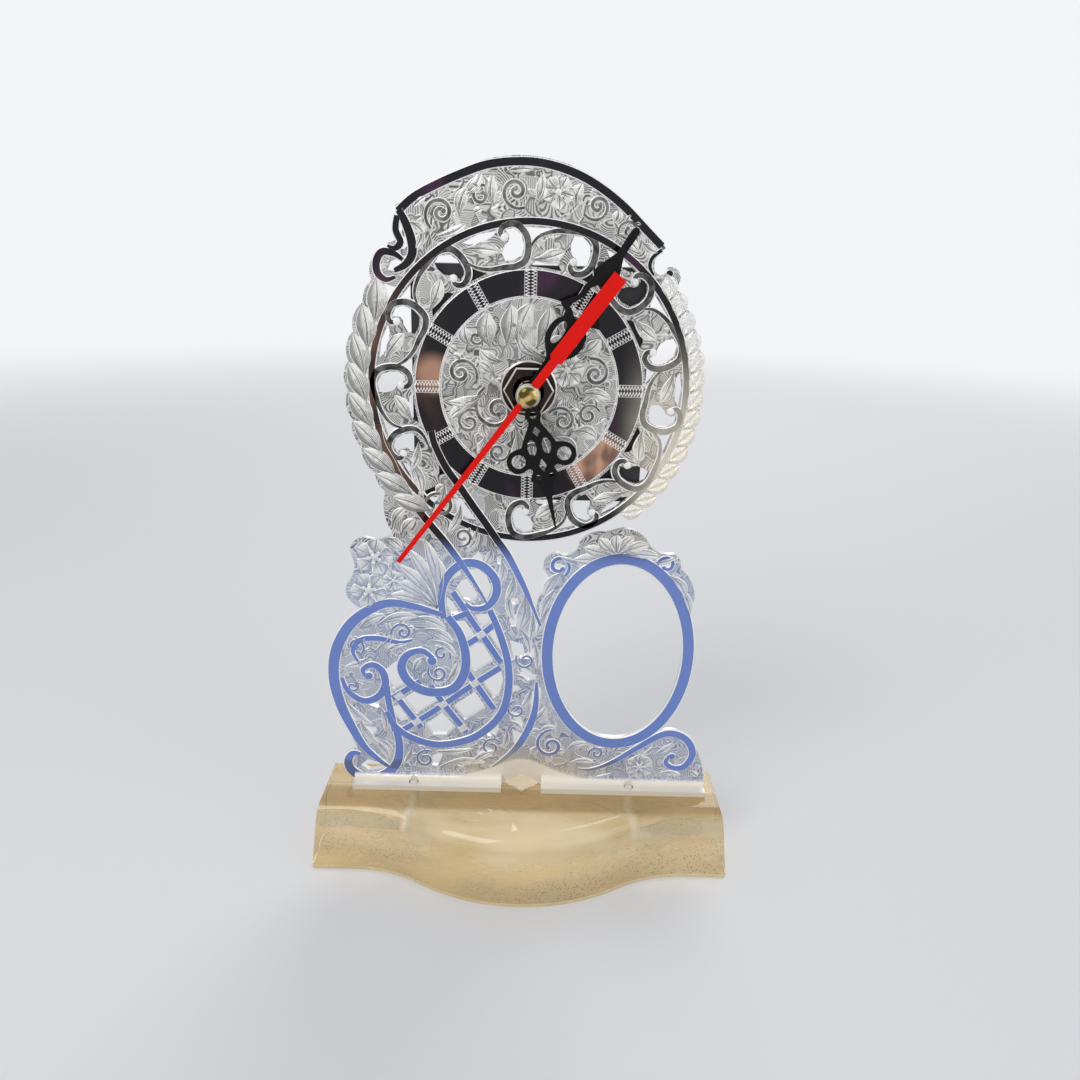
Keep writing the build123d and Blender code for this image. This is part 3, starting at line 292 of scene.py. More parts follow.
def hatch_look(place, across):
    """Fine cuts that run from a leaf's root towards its tip and fade out raggedly before it."""
    along = across.part(0)
    side = across.part(1)
    wander = place.noise(2.2, detail=1.0)
    wave = ((side / 0.42 + wander * 1.1) * (2 * pi)).sine()
    cut = wave.step(-0.3, 0.5)
    shade = (along + place.noise(0.9, detail=1.0) * 0.7).step(1.15, 0.60)
    rib = side.size().step(0.17, 0.05)
    # Painted shade: one side of each broad leaf is darkened, as if turned away from the light
    shaded_side = side.step(0.25, 1.7) * 0.65
    dark = (cut * (0.14 + 0.76 * shade)).math("MAXIMUM", rib * 0.8).math("MAXIMUM", shaded_side)
    tone = dark.blend(light_tone(place), cut_shade_tone(place))
    return {"Base Color": tone, "Roughness": 0.26 + 0.2 * wander, "Normal": (1 - dark).bump(0.10)}


def ground_look(place, across):
    """Engraved ground: leaf-like fields whose fine cuts follow curved lines, with a bright cut round each."""
    drift = place.node("ShaderNodeCombineXYZ", {
        0: (place.noise(4.0, detail=1.0) - 0.5) * (6.0 * MM), 1: 0.0,
        2: (place.noise(3.3, detail=1.0) - 0.5) * (6.0 * MM)})
    warped = place.node("ShaderNodeVectorMath", {0: place, 1: drift}, operation="ADD")
    flat = warped.node("ShaderNodeMapping", {0: warped, 3: (1, 0, 1)})
    tint = flat.cells(field_grain, output="Color")
    edge = flat.cells(field_grain, feature="DISTANCE_TO_EDGE")
    sway = place.noise(9.0, detail=0.0)
    wave = ((sway * 38 + tint.part(0) * 9) * (2 * pi)).sine()
    cut = wave.step(-0.2, 0.6)
    outline = edge.step(0.060, 0.020)
    shadow = edge.step(0.24, 0.05) * tint.part(1).step(0.4, 0.8)
    dark = (0.32 + cut * (0.28 + 0.36 * tint.part(2))).math("MAXIMUM", shadow * 0.9)
    tone = dark.blend(light_tone(place), cut_shade_tone(place))
    tone = (outline * 0.55).blend(tone, field_outline)
    # Painted reflection: the plain polished foot is coloured the pale cream it mirrors
    plain = foot_share(place)
    tone = plain.blend(tone, foot_cream_reflection)
    relief = (1 - dark + outline) * (1 - plain)
    return {
        "Base Color": tone,
        "Roughness": 0.28 + 0.2 * tint.part(2),
        "Metallic": 0.75 - 0.6 * plain,
        "Normal": relief.bump(0.08),
    }


def satin_look(place, across):
    """Scroll stems of the engraved fields: a soft grey with two fine cuts of painted shade along them, and a
    painted blue reflection on the lower sheet.
    """
    side = across.part(1).size()
    cut = (side - 0.16).size().step(0.09, 0.02)
    wear = place.noise(2.5, detail=2.0)
    tone = wear.step(0.35, 0.65).blend(satin_black, satin_grey)
    tone = blue_reflection_share(place).blend(tone, satin_blue_reflection)
    tone = (cut * 0.7).blend(tone, cut_shade_tone(place))
    return {"Base Color": tone, "Roughness": 0.22 + 0.15 * wear, "Normal": (1 - cut).bump(0.05)}


def frosted_look(place, across):
    """Silver matted by tiny dents."""
    grain = place.noise(0.35, detail=2.0)
    tone = (grain.step(0.35, 0.75) * 0.45).blend(light_tone(place), cut_shade_tone(place))
    return {"Base Color": tone, "Roughness": 0.42 + 0.2 * grain, "Normal": grain.bump(0.05)}


def brushed_look(place, across):
    """The plain back of the sheet, brushed from side to side."""
    lines = place.noise(0.35, detail=3.0, stretch=(0.04, 1, 1))
    return {
        "Base Color": lines.blend(brushed_dark, brushed_pale),
        "Roughness": 0.26 + 0.2 * lines,
        "Normal": lines.bump(0.02),
    }


polished = finish("polished_band", {"Metallic": 0.6}, polished_look)
# Scroll bands whose colour is a painted dark reflection
grey_band = finish("mirroring_scroll_band", {"Metallic": 1.0}, grey_band_look)
satin_band = finish("satin_scroll_band", {"Metallic": 0.85}, satin_look)
bright_cut = finish("bright_cut", {"Metallic": 0.2}, bright_look)
hatched = finish("hatched_leaf", {"Metallic": 0.75}, hatch_look)
ground = finish("engraved_ground", {}, ground_look)
frosted = finish("frosted_cut", {"Metallic": 0.7}, frosted_look)
brushed = finish("brushed_back", {"Metallic": 1.0}, brushed_look)
relief_finishes = (polished, bright_cut, hatched, frosted, grey_band, satin_band)


# Finishes of the other pieces, each from two tones and a roughness
def metal(name, light, dark, rough, grain=3.0):
    """Plain metal with soft wear."""
    def look(place, across):
        wear = place.noise(grain, detail=3.0)
        return {"Base Color": wear.blend(light, dark), "Roughness": rough + 0.12 * wear,
                "Normal": wear.bump(0.01)}
    return finish(name, {"Metallic": 1.0}, look)


def moulded(name, light, dark, rough, grain=0.35, depth=0.02):
    """Plastic, rubber or board with a fine grain."""
    def look(place, across):
        fine = place.noise(grain, detail=2.0)
        broad = place.noise(12.0, detail=1.0)
        return {"Base Color": broad.blend(light, dark), "Roughness": rough + 0.14 * fine,
                "Normal": fine.bump(depth)}
    return finish(name, {}, look)


def lacquer(name, light, dark, rough):
    """Dull lacquer with a faint orange peel."""
    def look(place, across):
        peel = place.noise(0.8, detail=1.0)
        return {"Base Color": peel.blend(light, dark), "Roughness": rough + 0.08 * peel,
                "Normal": peel.bump(0.008)}
    return finish(name, {"Specular IOR Level": 0.18}, look)


# Tones of the pad, the cap, the cell, the coil and the block
pad_brown = (0.56, 0.42, 0.21)
pad_tan = (0.90, 0.75, 0.48)
pad_fibre = (0.90, 0.78, 0.58)
pad_speck = (0.13, 0.10, 0.07)
cap_shadow = (0.10, 0.075, 0.02)
cap_gold = (0.72, 0.56, 0.20)
cap_rim_highlight = (0.84, 0.80, 0.68)
jacket_grey = (0.11, 0.12, 0.14)
jacket_band = (0.60, 0.61, 0.62)
wire_gap = (0.25, 0.09, 0.03)
wire_copper = (0.72, 0.33, 0.13)
wire_pitch = 0.22
block_amber = (0.80, 0.67, 0.42)
block_gold = (0.99, 0.92, 0.74)
block_strip = (0.38, 0.27, 0.12)
block_foot = (0.40, 0.30, 0.17)
block_speck = (0.08, 0.06, 0.04)


def pad_look(place, across):
    """Tan foam with darker fibres and specks, seen through the clear block."""
    broad = place.noise(16.0, detail=3.0, stretch=(0.5, 1, 1))
    fibre = place.noise(0.9, detail=3.0, stretch=(0.3, 1, 1))
    specks = place.cells(1.5).step(0.17, 0.08) * place.noise(10.0).step(0.46, 0.62)
    tone = broad.blend(pad_brown, pad_tan)
    tone = (fibre.step(0.45, 0.7) * 0.35).blend(tone, pad_fibre)
    tone = (specks * 0.8).blend(tone, pad_speck)
    return {"Base Color": tone, "Roughness": 0.75 + 0.15 * fibre, "Normal": fibre.bump(0.08)}


def cap_look(place, across):
    """Bright brass with painted near-black reflections and a pale rim that is a painted highlight."""
    right = place.part(0)
    up = place.part(2) - dial_height * MM
    reach = (right * right + up * up).math("SQRT")
    mirrored = place.noise(2.4, detail=1.0, stretch=(1, 0.2, 1))
    gold = mirrored.step(0.44, 0.60).blend(cap_shadow, cap_gold)
    tone = reach.ramp(2.0, 2.6).blend(gold, cap_rim_highlight)
    return {"Base Color": tone, "Roughness": 0.06 + 0.08 * mirrored}


def jacket_look(place, across):
    """A plain printed wrap: grey, with a pale band round its plus end."""
    band = place.part(0).ramp(9.8, 10.1)
    wear = place.noise(2.0)
    tone = band.blend(jacket_grey, jacket_band)
    return {"Base Color": tone, "Metallic": band * 0.8, "Roughness": 0.24 + 0.1 * wear}


def winding_look(place, across):
    """Fine copper wire, laid turn by turn."""
    turns = (place.part(0) * (2 * pi / (wire_pitch * MM))).sine()
    tone = turns.step(-0.6, 0.8).blend(wire_gap, wire_copper)
    return {"Base Color": tone, "Roughness": 0.25 + 0.1 * place.noise(1.0), "Normal": turns.bump(0.03)}


def acrylic_look(place, across):
    """Clear block that takes the gold of its pad: a dark strip along its top and specks low in its front."""
    height = place.part(2)
    depth = place.part(1)
    streak = place.noise(12.0, detail=3.0, stretch=(0.3, 1, 1))
    strip = depth.ramp(-13.5, -11.0) * depth.ramp(-1.5, -3.5) * height.ramp(17.0, 18.8)
    low = height.ramp(15.0, 4.5) * streak.step(0.36, 0.56)
    specks = place.cells(0.8).step(0.31, 0.18) * low
    tone = streak.step(0.36, 0.66).blend(block_amber, block_gold)
    tone = (strip * 0.85).blend(tone, block_strip)
    tone = (low * 0.50).blend(tone, block_foot)
    tone = (specks * 0.85).blend(tone, block_speck)
    return {"Base Color": tone, "Roughness": place.noise(3.0, detail=4.0).step(0.55, 0.9) * 0.04}


brass = metal("polished_brass", (0.85, 0.66, 0.30), (0.62, 0.46, 0.20), 0.08)
cap_brass = finish("domed_brass", {"Metallic": 1.0}, cap_look)
# Painted dark reflection: the washer, nut and bush are coloured the near-black they mirror
dark_metal = metal("nickel_dark_reflection", (0.012, 0.010, 0.010), (0.06, 0.042, 0.034), 0.12)
# Painted highlight: the pale edge of the washer, nut and bush where the light catches it
edge_metal = metal("nickel_edge_highlight", (0.86, 0.83, 0.78), (0.45, 0.42, 0.38), 0.2)
zinc = metal("zinc_plate", (0.80, 0.80, 0.78), (0.62, 0.63, 0.64), 0.28, 1.5)
pale_zinc = moulded("pale_zinc", (0.90, 0.87, 0.80), (0.80, 0.76, 0.68), 0.35, 0.6)
soft_iron = metal("soft_iron", (0.50, 0.50, 0.52), (0.36, 0.36, 0.38), 0.38, 1.0)
magnet = metal("sintered_magnet", (0.20, 0.20, 0.21), (0.12, 0.12, 0.13), 0.5, 0.5)
black_lacquer = lacquer("black_lacquer", (0.002, 0.002, 0.002), (0.005, 0.005, 0.006), 0.34)
red_lacquer = lacquer("red_lacquer", (0.86, 0.006, 0.002), (0.76, 0.005, 0.002), 0.45)
black_plastic = moulded("black_moulding", (0.016, 0.016, 0.018), (0.030, 0.030, 0.032), 0.42)
white_plastic = moulded("white_acetal", (0.86, 0.85, 0.80), (0.78, 0.77, 0.72), 0.30, 0.8, 0.01)
rubber = moulded("black_rubber", (0.022, 0.022, 0.022), (0.04, 0.04, 0.04), 0.72, 0.5, 0.03)
green_board = moulded("green_board", (0.03, 0.20, 0.08), (0.05, 0.28, 0.12), 0.35, 1.2, 0.01)
jacket = finish("battery_jacket", {}, jacket_look)
pad_foam = finish("tan_foam", {}, pad_look)
winding = finish("copper_winding", {"Metallic": 0.8}, winding_look)
acrylic = finish("clear_acrylic", {"Transmission Weight": 0.70, "IOR": 1.49}, acrylic_look)


# Making and finishing pieces. Points closer than this many millimetres are one
same_point = 0.002


def clear_selection():
    if bpy.context.mode != "OBJECT":
        bpy.ops.object.mode_set(mode="OBJECT")
    bpy.ops.object.select_all(action="DESELECT")


def pick(piece):
    clear_selection()
    piece.select_set(True)
    bpy.context.view_layer.objects.active = piece


def place_on(piece, body, materials, replaced=()):
    """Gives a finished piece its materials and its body."""
    marks = [polygon.material_index for polygon in piece.data.polygons]
    piece.data.materials.clear()
    for material in materials:
        piece.data.materials.append(material)
    for polygon, mark in zip(piece.data.polygons, marks):
        polygon.material_index = min(mark, len(materials) - 1)
    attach(piece, body)
    if replaced:
        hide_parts(*replaced)
    return piece


def mesh_piece(name, points, faces):
    """A new object from points in millimetres."""
    mesh = bpy.data.meshes.new(name)
    mesh.from_pydata([[value * MM for value in point] for point in points], [], faces)
    piece = bpy.data.objects.new(name, mesh)
    bpy.context.scene.collection.objects.link(piece)
    return piece


def smooth_shading(piece, angle=35):
    """Smooth faces, with creases kept where they meet at more than an angle."""
    pick(piece)
    bpy.ops.object.shade_smooth_by_angle(angle=radians(angle))
    return piece


def edit(piece):
    """Opens a piece's mesh to be worked on, with all of it selected."""
    pick(piece)
    bpy.ops.object.mode_set(mode="EDIT")
    bpy.ops.mesh.select_all(action="SELECT")


def close_up():
    """Joins the points that lie on each other, turns the faces outwards and ends the work on the mesh."""
    bpy.ops.mesh.select_all(action="SELECT")
    bpy.ops.mesh.remove_doubles(threshold=same_point * MM)
    bpy.ops.mesh.normals_make_consistent(inside=False)
    bpy.ops.object.mode_set(mode="OBJECT")


def turned(name, profile, origin, turn=None, steps=64):
    """A round piece, spun from a profile of (radius, distance along the axis) points.

    Its axis points up until it is turned about the origin given.
    """
    piece = mesh_piece(name, [(radius, 0, along) for radius, along in profile], [])
    edges = bmesh.new()
    edges.from_mesh(piece.data)
    edges.verts.ensure_lookup_table()
    for index in range(len(profile) - 1):
        edges.edges.new((edges.verts[index], edges.verts[index + 1]))
    edges.to_mesh(piece.data)
    edges.free()
    edit(piece)
    bpy.ops.mesh.spin(steps=steps, angle=2 * pi, center=(0, 0, 0), axis=(0, 0, 1))
    close_up()
    matrix = Matrix.Translation(Vector(origin) * MM)
    if turn:
        matrix = matrix @ Matrix.Rotation(radians(turn[0]), 4, turn[1])
    piece.data.transform(matrix)
    return smooth_shading(piece)


def on_dial(name, profile, steps=64):
    """A round piece on the dial's axis, whose profile gives how far it stands before the sheet."""
    return turned(name, profile, (0, 0, dial_height), (90, "X"), steps)


def flat_shape(name, outlines, thickness, rear, turn=0.0, edge=0.0):
    """A sheet piece cut to smooth outlines, turned clockwise about the dial's axis."""
    curve = bpy.data.curves.new(name, "CURVE")
    curve.dimensions = "2D"
    curve.fill_mode = "BOTH"
    curve.extrude = (thickness / 2 - edge) * MM
    curve.bevel_depth = edge * MM
    curve.bevel_resolution = 1
    curve.offset = -edge * MM
    for outline in outlines:
        spline = curve.splines.new("POLY")
        spline.points.add(len(outline) - 1)
        for point, (across, up) in zip(spline.points, outline):
            point.co = (across * MM, up * MM, 0, 1)
        spline.use_cyclic_u = True
    pattern = bpy.data.objects.new(name, curve)
    bpy.context.scene.collection.objects.link(pattern)
    pick(pattern)
    bpy.ops.object.convert(target="MESH")
    piece = bpy.context.view_layer.objects.active
    upright = Matrix.Rotation(radians(90), 4, "X")
    swung = Matrix.Rotation(radians(turn), 4, "Y")
    moved = Matrix.Translation(Vector((0, rear - thickness / 2, dial_height)) * MM)
    piece.data.transform(moved @ swung @ upright)
    edit(piece)
    close_up()
    return piece


def copy_of(name, node):
    """A merged copy of a CAD node's mesh, ready to be worked on."""
    piece = bpy.data.objects.new(name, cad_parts[node].data.copy())
    bpy.context.scene.collection.objects.link(piece)
    edit(piece)
    bpy.ops.mesh.remove_doubles(threshold=same_point * MM)
    bpy.ops.mesh.dissolve_limited(angle_limit=radians(1.5))
    bpy.ops.object.mode_set(mode="OBJECT")
    return piece


# Drawing in the plane of the sheet: places are (right, up) in millimetres from the dial's centre
def smooth(points, steps=5, closed=False):
    """A curve through the points."""
    count = len(points)
    curve = []
    for index in range(count if closed else count - 1):
        if closed:
            near = [points[(index + shift) % count] for shift in (-1, 0, 1, 2)]
        else:
            near = [points[min(max(index + shift, 0), count - 1)] for shift in (-1, 0, 1, 2)]
        for step in range(steps):
            t = step / steps
            weights = ((-t + 2 * t * t - t ** 3) / 2, (2 - 5 * t * t + 3 * t ** 3) / 2,
                       (t + 4 * t * t - 3 * t ** 3) / 2, (t ** 3 - t * t) / 2)
            curve.append((sum(weight * point[0] for weight, point in zip(weights, near)),
                          sum(weight * point[1] for weight, point in zip(weights, near))))
    if not closed:
        curve.append(points[-1])
    return curve


def from_centre(centre, reach, angle):
    """The place at a distance from a centre, in a direction in degrees."""
    return (centre[0] + reach * cos(radians(angle)), centre[1] + reach * sin(radians(angle)))


def arc(centre, radius, start, end, steps=24, second=None):
    """Points round a circle, or an ellipse with a second radius, between two angles in degrees."""
    turns = [radians(start + (end - start) * step / steps) for step in range(steps + 1)]
    return [(centre[0] + radius * cos(turn), centre[1] + (second or radius) * sin(turn))
            for turn in turns]


def whole(centre, radius, steps, second=None):
    """Points all the way round a circle or an ellipse."""
    return arc(centre, radius, 0, 360, steps, second)[:-1]


curl_steps = 30


def spiral(centre, start_radius, end_radius, start, sweep):
    """Points of a curl that winds in from one radius to another."""
    points = []
    for step in range(curl_steps + 1):
        share = step / curl_steps
        radius = start_radius * (end_radius / start_radius) ** share
        turn = radians(start + sweep * share)
        points.append((centre[0] + radius * cos(turn), centre[1] + radius * sin(turn)))
    return points


class Relief:
    """Engraved work that stands a hair above the sheet, gathered into one mesh of closed shapes."""

    sink = 0.06
    rise = 0.11
    edge = 0.30
    sides = 12
    lift_step = 0.005
    lift_count = 9
    # Shares of the length over which a band and a single cut narrow towards each end
    band_taper_share = 0.45
    cut_taper_share = 0.3

    def __init__(self, name):
        self.name = name
        self.points = []
        self.faces = []
        self.marks = []
        self.spots = []
        self.count = 0

    def face(self, corners, mark, spots):
        self.faces.append(corners)
        self.marks.append(mark)
        self.spots.extend(spots)

    def lift(self):
        """A small step in height from one shape to the next, so that crossing shapes never share a face."""
        self.count += 1
        return (self.count % self.lift_count) * self.lift_step

    def keep(self, rings):
        """Keeps the points of rings of (right, forward, up) and returns the number of the first one."""
        first = len(self.points)
        for ring in rings:
            self.points.extend((right, -forward, dial_height + up) for right, forward, up in ring)
        return first

    def skin(self, rings, along, across, marks, closed=False):
        """Joins rings of points, each side of the ring with its own finish."""
        size = len(across)
        first = self.keep(rings)
        count = len(rings)
        for index in range(count if closed else count - 1):
            after = (index + 1) % count
            far = along[index + 1] if index + 1 < len(along) else along[index] + 1
            for side in range(size):
                over = (side + 1) % size
                corners = (first + index * size + side, first + index * size + over,
                           first + after * size + over, first + after * size + side)
                spots = [(along[index], across[side]), (along[index], across[over]),
                         (far, across[over]), (far, across[side])]
                self.face(corners, marks[side], spots)
        if not closed:
            start = tuple(first + side for side in reversed(range(size)))
            self.face(start, marks[0], [(along[0], across[side]) for side in reversed(range(size))])
            last = first + (count - 1) * size
            self.face(tuple(last + side for side in range(size)), marks[0],
                      [(along[-1], across[side]) for side in range(size)])

    def sweep(self, path, halves, profile, marks, closed=False):
        """Sweeps a profile of (share of the half width, inset, height) points along a path.

        The mesh's UV map holds the share of the length and the distance from the middle line in millimetres.
        """
        count = len(path)
        rings = []
        along = [0.0]
        for index, (right, up) in enumerate(path):
            before = path[(index - 1) % count] if closed or index else path[index]
            after = path[(index + 1) % count] if closed or index < count - 1 else path[index]
            run = (after[0] - before[0], after[1] - before[1])
            length = hypot(*run) or 1.0
            normal = (-run[1] / length, run[0] / length)
            ring = []
            for share, inset, height in profile:
                reach = share * halves[index] - min(inset, halves[index] * 0.4) * (1 if share > 0 else -1)
                ring.append((right + normal[0] * reach, height, up + normal[1] * reach))
            rings.append(ring)
            if index:
                along.append(along[-1] + hypot(right - path[index - 1][0], up - path[index - 1][1]))
        along = [length / along[-1] for length in along]
        self.skin(rings, along, [point[0] * max(halves) for point in profile], marks, closed)

    def ribbon(self, path, width, ends=(1.0, 1.0), rise=None, edge=None, closed=False, top=POLISHED):
        """A polished band between two bright cuts. Its ends narrow to a share of its width."""
        rise = (rise or self.rise) + self.lift()
        edge = min(edge or self.edge, width * 0.3)
        halves = []
        for index in range(len(path)):
            share = index / (len(path) - 1)
            start = ends[0] + (1 - ends[0]) * sin(min(share / self.band_taper_share, 1) * pi / 2)
            end = ends[1] + (1 - ends[1]) * sin(min((1 - share) / self.band_taper_share, 1) * pi / 2)
            halves.append(width / 2 * start * end)
        profile = [(-1, 0, -self.sink), (-1, edge, rise), (1, edge, rise), (1, 0, -self.sink)]
        self.sweep(path, halves, profile, [BRIGHT, top, BRIGHT, BRIGHT], closed)

    def line(self, path, width=0.34, ends=(0.4, 0.4), rise=0.09, closed=False):
        """A bright cut by itself."""
        rise += self.lift()
        count = len(path)
        halves = []
        for index in range(count):
            share = index / (count - 1)
            start = ends[0] + (1 - ends[0]) * min(share / self.cut_taper_share, 1)
            end = ends[1] + (1 - ends[1]) * min((1 - share) / self.cut_taper_share, 1)
            halves.append(width / 2 * (1 if closed else start * end))
        self.sweep(path, halves, [(-1, 0, -self.sink), (0, 0, rise), (1, 0, -self.sink)],
                   [BRIGHT, BRIGHT, BRIGHT], closed)

    def leaf(self, root, tip, width, bend=0.0, belly=0.55, steps=9, dome=0.17, mark=HATCHED):
        """A leaf with a midrib, whose line bends sideways and whose belly lies at a share of its length."""
        run = (tip[0] - root[0], tip[1] - root[1])
        path = []
        halves = []
        power = log(0.5) / log(belly)
        for step in range(steps + 1):
            share = step / steps
            swing = bend * 4 * share * (1 - share)
            path.append((root[0] + run[0] * share - run[1] * swing,
                         root[1] + run[1] * share + run[0] * swing))
            halves.append(max(width / 2 * sin(pi * share ** power) ** 0.85, 0.04))
        lift = self.lift()
        profile = [(-1, 0, -self.sink), (-1, 0.32, dome * 0.6 + lift), (-0.42, 0, dome + lift),
                   (0, 0, dome * 0.55 + lift), (0.42, 0, dome + lift), (1, 0.32, dome * 0.6 + lift),
                   (1, 0, -self.sink)]
        self.sweep(path, halves, profile, [BRIGHT, mark, mark, mark, mark, BRIGHT, BRIGHT])

    def ball(self, centre, radius, height=0.3, mark=POLISHED):
        """A round bead or boss with a bright foot."""
        lift = self.lift()
        sides = self.sides
        steps = ((1.0, -self.sink), (0.78, height * 0.55), (0.42, height * 0.9), (0.1, height))
        rings = [[(across, level + lift, up) for across, up in whole(centre, radius * reach, sides)]
                 for reach, level in steps]
        first = self.keep(rings)
        for level in range(len(rings) - 1):
            for side in range(sides):
                over = (side + 1) % sides
                corners = (first + level * sides + side, first + level * sides + over,
                           first + (level + 1) * sides + over, first + (level + 1) * sides + side)
                self.face(corners, BRIGHT if level == 0 else mark, [(0.5, 1.0)] * 4)
        self.face(tuple(first + (len(rings) - 1) * sides + side for side in range(sides)), mark,
                  [(0.5, 1.0)] * sides)
        self.face(tuple(first + side for side in reversed(range(sides))), BRIGHT, [(0.5, 1.0)] * sides)

    def curl(self, centre, radius, start, sweep, width, inner=0.28, top=SATIN, leaves=3):
        """A scroll that winds in and ends in a ball, with small leaves on its outer side."""
        path = spiral(centre, radius, radius * inner, start, sweep)
        hand = 1 if sweep > 0 else -1
        for number in range(leaves):
            root = path[2 + 4 * number]
            outward = ((root[0] - centre[0]) / radius, (root[1] - centre[1]) / radius)
            forward = (-outward[1] * hand, outward[0] * hand)
            tip = (root[0] + radius * (0.42 * outward[0] + 0.75 * forward[0]),
                   root[1] + radius * (0.42 * outward[1] + 0.75 * forward[1]))
            self.leaf(root, tip, radius * 0.5, -0.16 * hand, steps=6)
        self.ribbon(path, width, (0.7, 0.8), edge=0.32, top=top)
        self.ball(path[-1], width * 0.5, 0.2, mark=top)

    def flower(self, centre, radius, petals, turn):
        """A flower of broad petals round a beaded boss."""
        boss = radius * 0.24
        for index in range(petals):
            angle = turn + 360 * index / petals
            root, tip = from_centre(centre, radius * 0.1, angle), from_centre(centre, radius, angle)
            self.leaf(root, tip, radius * 1.02, belly=0.66, dome=0.24)
        self.ball(centre, boss, 0.34, FROSTED)
        for index in range(petals):
            bead = from_centre(centre, boss * 1.3, turn + 360 * (index + 0.5) / petals)
            self.ball(bead, radius * 0.08, 0.28, BRIGHT)

    def leaves(self, rows, widen=1.0):
        """Leaves from rows of (root, tip, width, bend), all widened by the same share."""
        for root, tip, width, bend in rows:
            self.leaf(root, tip, width * widen, bend)

    def finish(self):
        """Makes one piece of the gathered shapes, on the sheet."""
        piece = mesh_piece(self.name, self.points, self.faces)
        for polygon, mark in zip(piece.data.polygons, self.marks):
            polygon.material_index = mark
        layer = piece.data.uv_layers.new(name="UVMap")
        for spot, pair in zip(layer.data, self.spots):
            spot.uv = pair
        edit(piece)
        bpy.ops.mesh.normals_make_consistent(inside=False)
        bpy.ops.object.mode_set(mode="OBJECT")
        return place_on(piece, "root", relief_finishes)


# The sheet itself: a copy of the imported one, with bright-cut rims round its outline and openings
rim_width = 0.34


def make_sheet():
    """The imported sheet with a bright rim, an engraved front and a brushed back."""
    piece = copy_of("pierced_sheet", "engraved_plate")
    pick(piece)
    bpy.ops.object.mode_set(mode="EDIT")
    bpy.ops.mesh.select_all(action="DESELECT")
    bpy.ops.mesh.select_mode(type="EDGE")
    mesh = bmesh.from_edit_mesh(piece.data)
    for edge in mesh.edges:
        front = all(abs(vert.co.y) < 0.01 * MM for vert in edge.verts)
        if front and len(edge.link_faces) == 2 and edge.calc_face_angle(0) > radians(60):
            edge.select_set(True)
    bmesh.update_edit_mesh(piece.data)
    bpy.ops.mesh.bevel(offset=rim_width * MM, segments=1, material=1, clamp_overlap=True)
    bpy.ops.object.mode_set(mode="OBJECT")
    for polygon in piece.data.polygons:
        if polygon.material_index != 1:
            polygon.material_index = 0 if polygon.normal.y < -0.7 else 2
            if polygon.normal.z > 0.7 and polygon.center.y < 0:
                polygon.material_index = 0
    return place_on(piece, "root", (ground, bright_cut, brushed), ("engraved_plate",))


make_sheet()

# Dial: polished ring, chapter ring, zigzag marks and the engraved disc
centre = (0, 0)
ring_middle = 37.45
ring_width = 2.05
chapter_middle = 24.2
chapter_width = 6.2
mark_inner = 21.3
mark_outer = 27.1
mark_turns = 8
mark_width = 1.2
leaf_widening = 1.25


def clockwise(across, reach, turn):
    """A place beside a line that runs out from the dial's centre, turned clockwise from twelve."""
    turn = radians(turn)
    return (reach * sin(turn) + across * cos(turn), reach * cos(turn) - across * sin(turn))


def make_dial():
    """The polished ring, the chapter ring and the hour marks, each of two zigzags between two lines."""
    work = Relief("dial_engraving")
    work.ribbon(whole(centre, ring_middle, 128), ring_width, closed=True, rise=0.12)
    work.ribbon(whole(centre, chapter_middle, 112), chapter_width, closed=True, rise=0.07)
    steps = 2 * mark_turns
    for turn in range(0, 360, 30):
        for side in (-1, 1):
            zigzag = []
            for step in range(steps + 1):
                reach = mark_inner + (mark_outer - mark_inner) * step / steps
                across = mark_width / 2 + (mark_width / 2 if step % 2 else -mark_width * 0.28)
                zigzag.append(clockwise(side * across, reach, turn))
            work.ribbon(zigzag, 0.56, edge=0.08, rise=0.14, top=BRIGHT)
        for side in (-1, 1):
            line = [clockwise(side * mark_width * 1.15, reach, turn) for reach in (mark_inner, mark_outer)]
            work.line(line, 0.36, (1, 1), 0.15)
    work.line(whole(centre, mark_inner - 0.4, 96), 0.42, closed=True, rise=0.10)
    return work.finish()


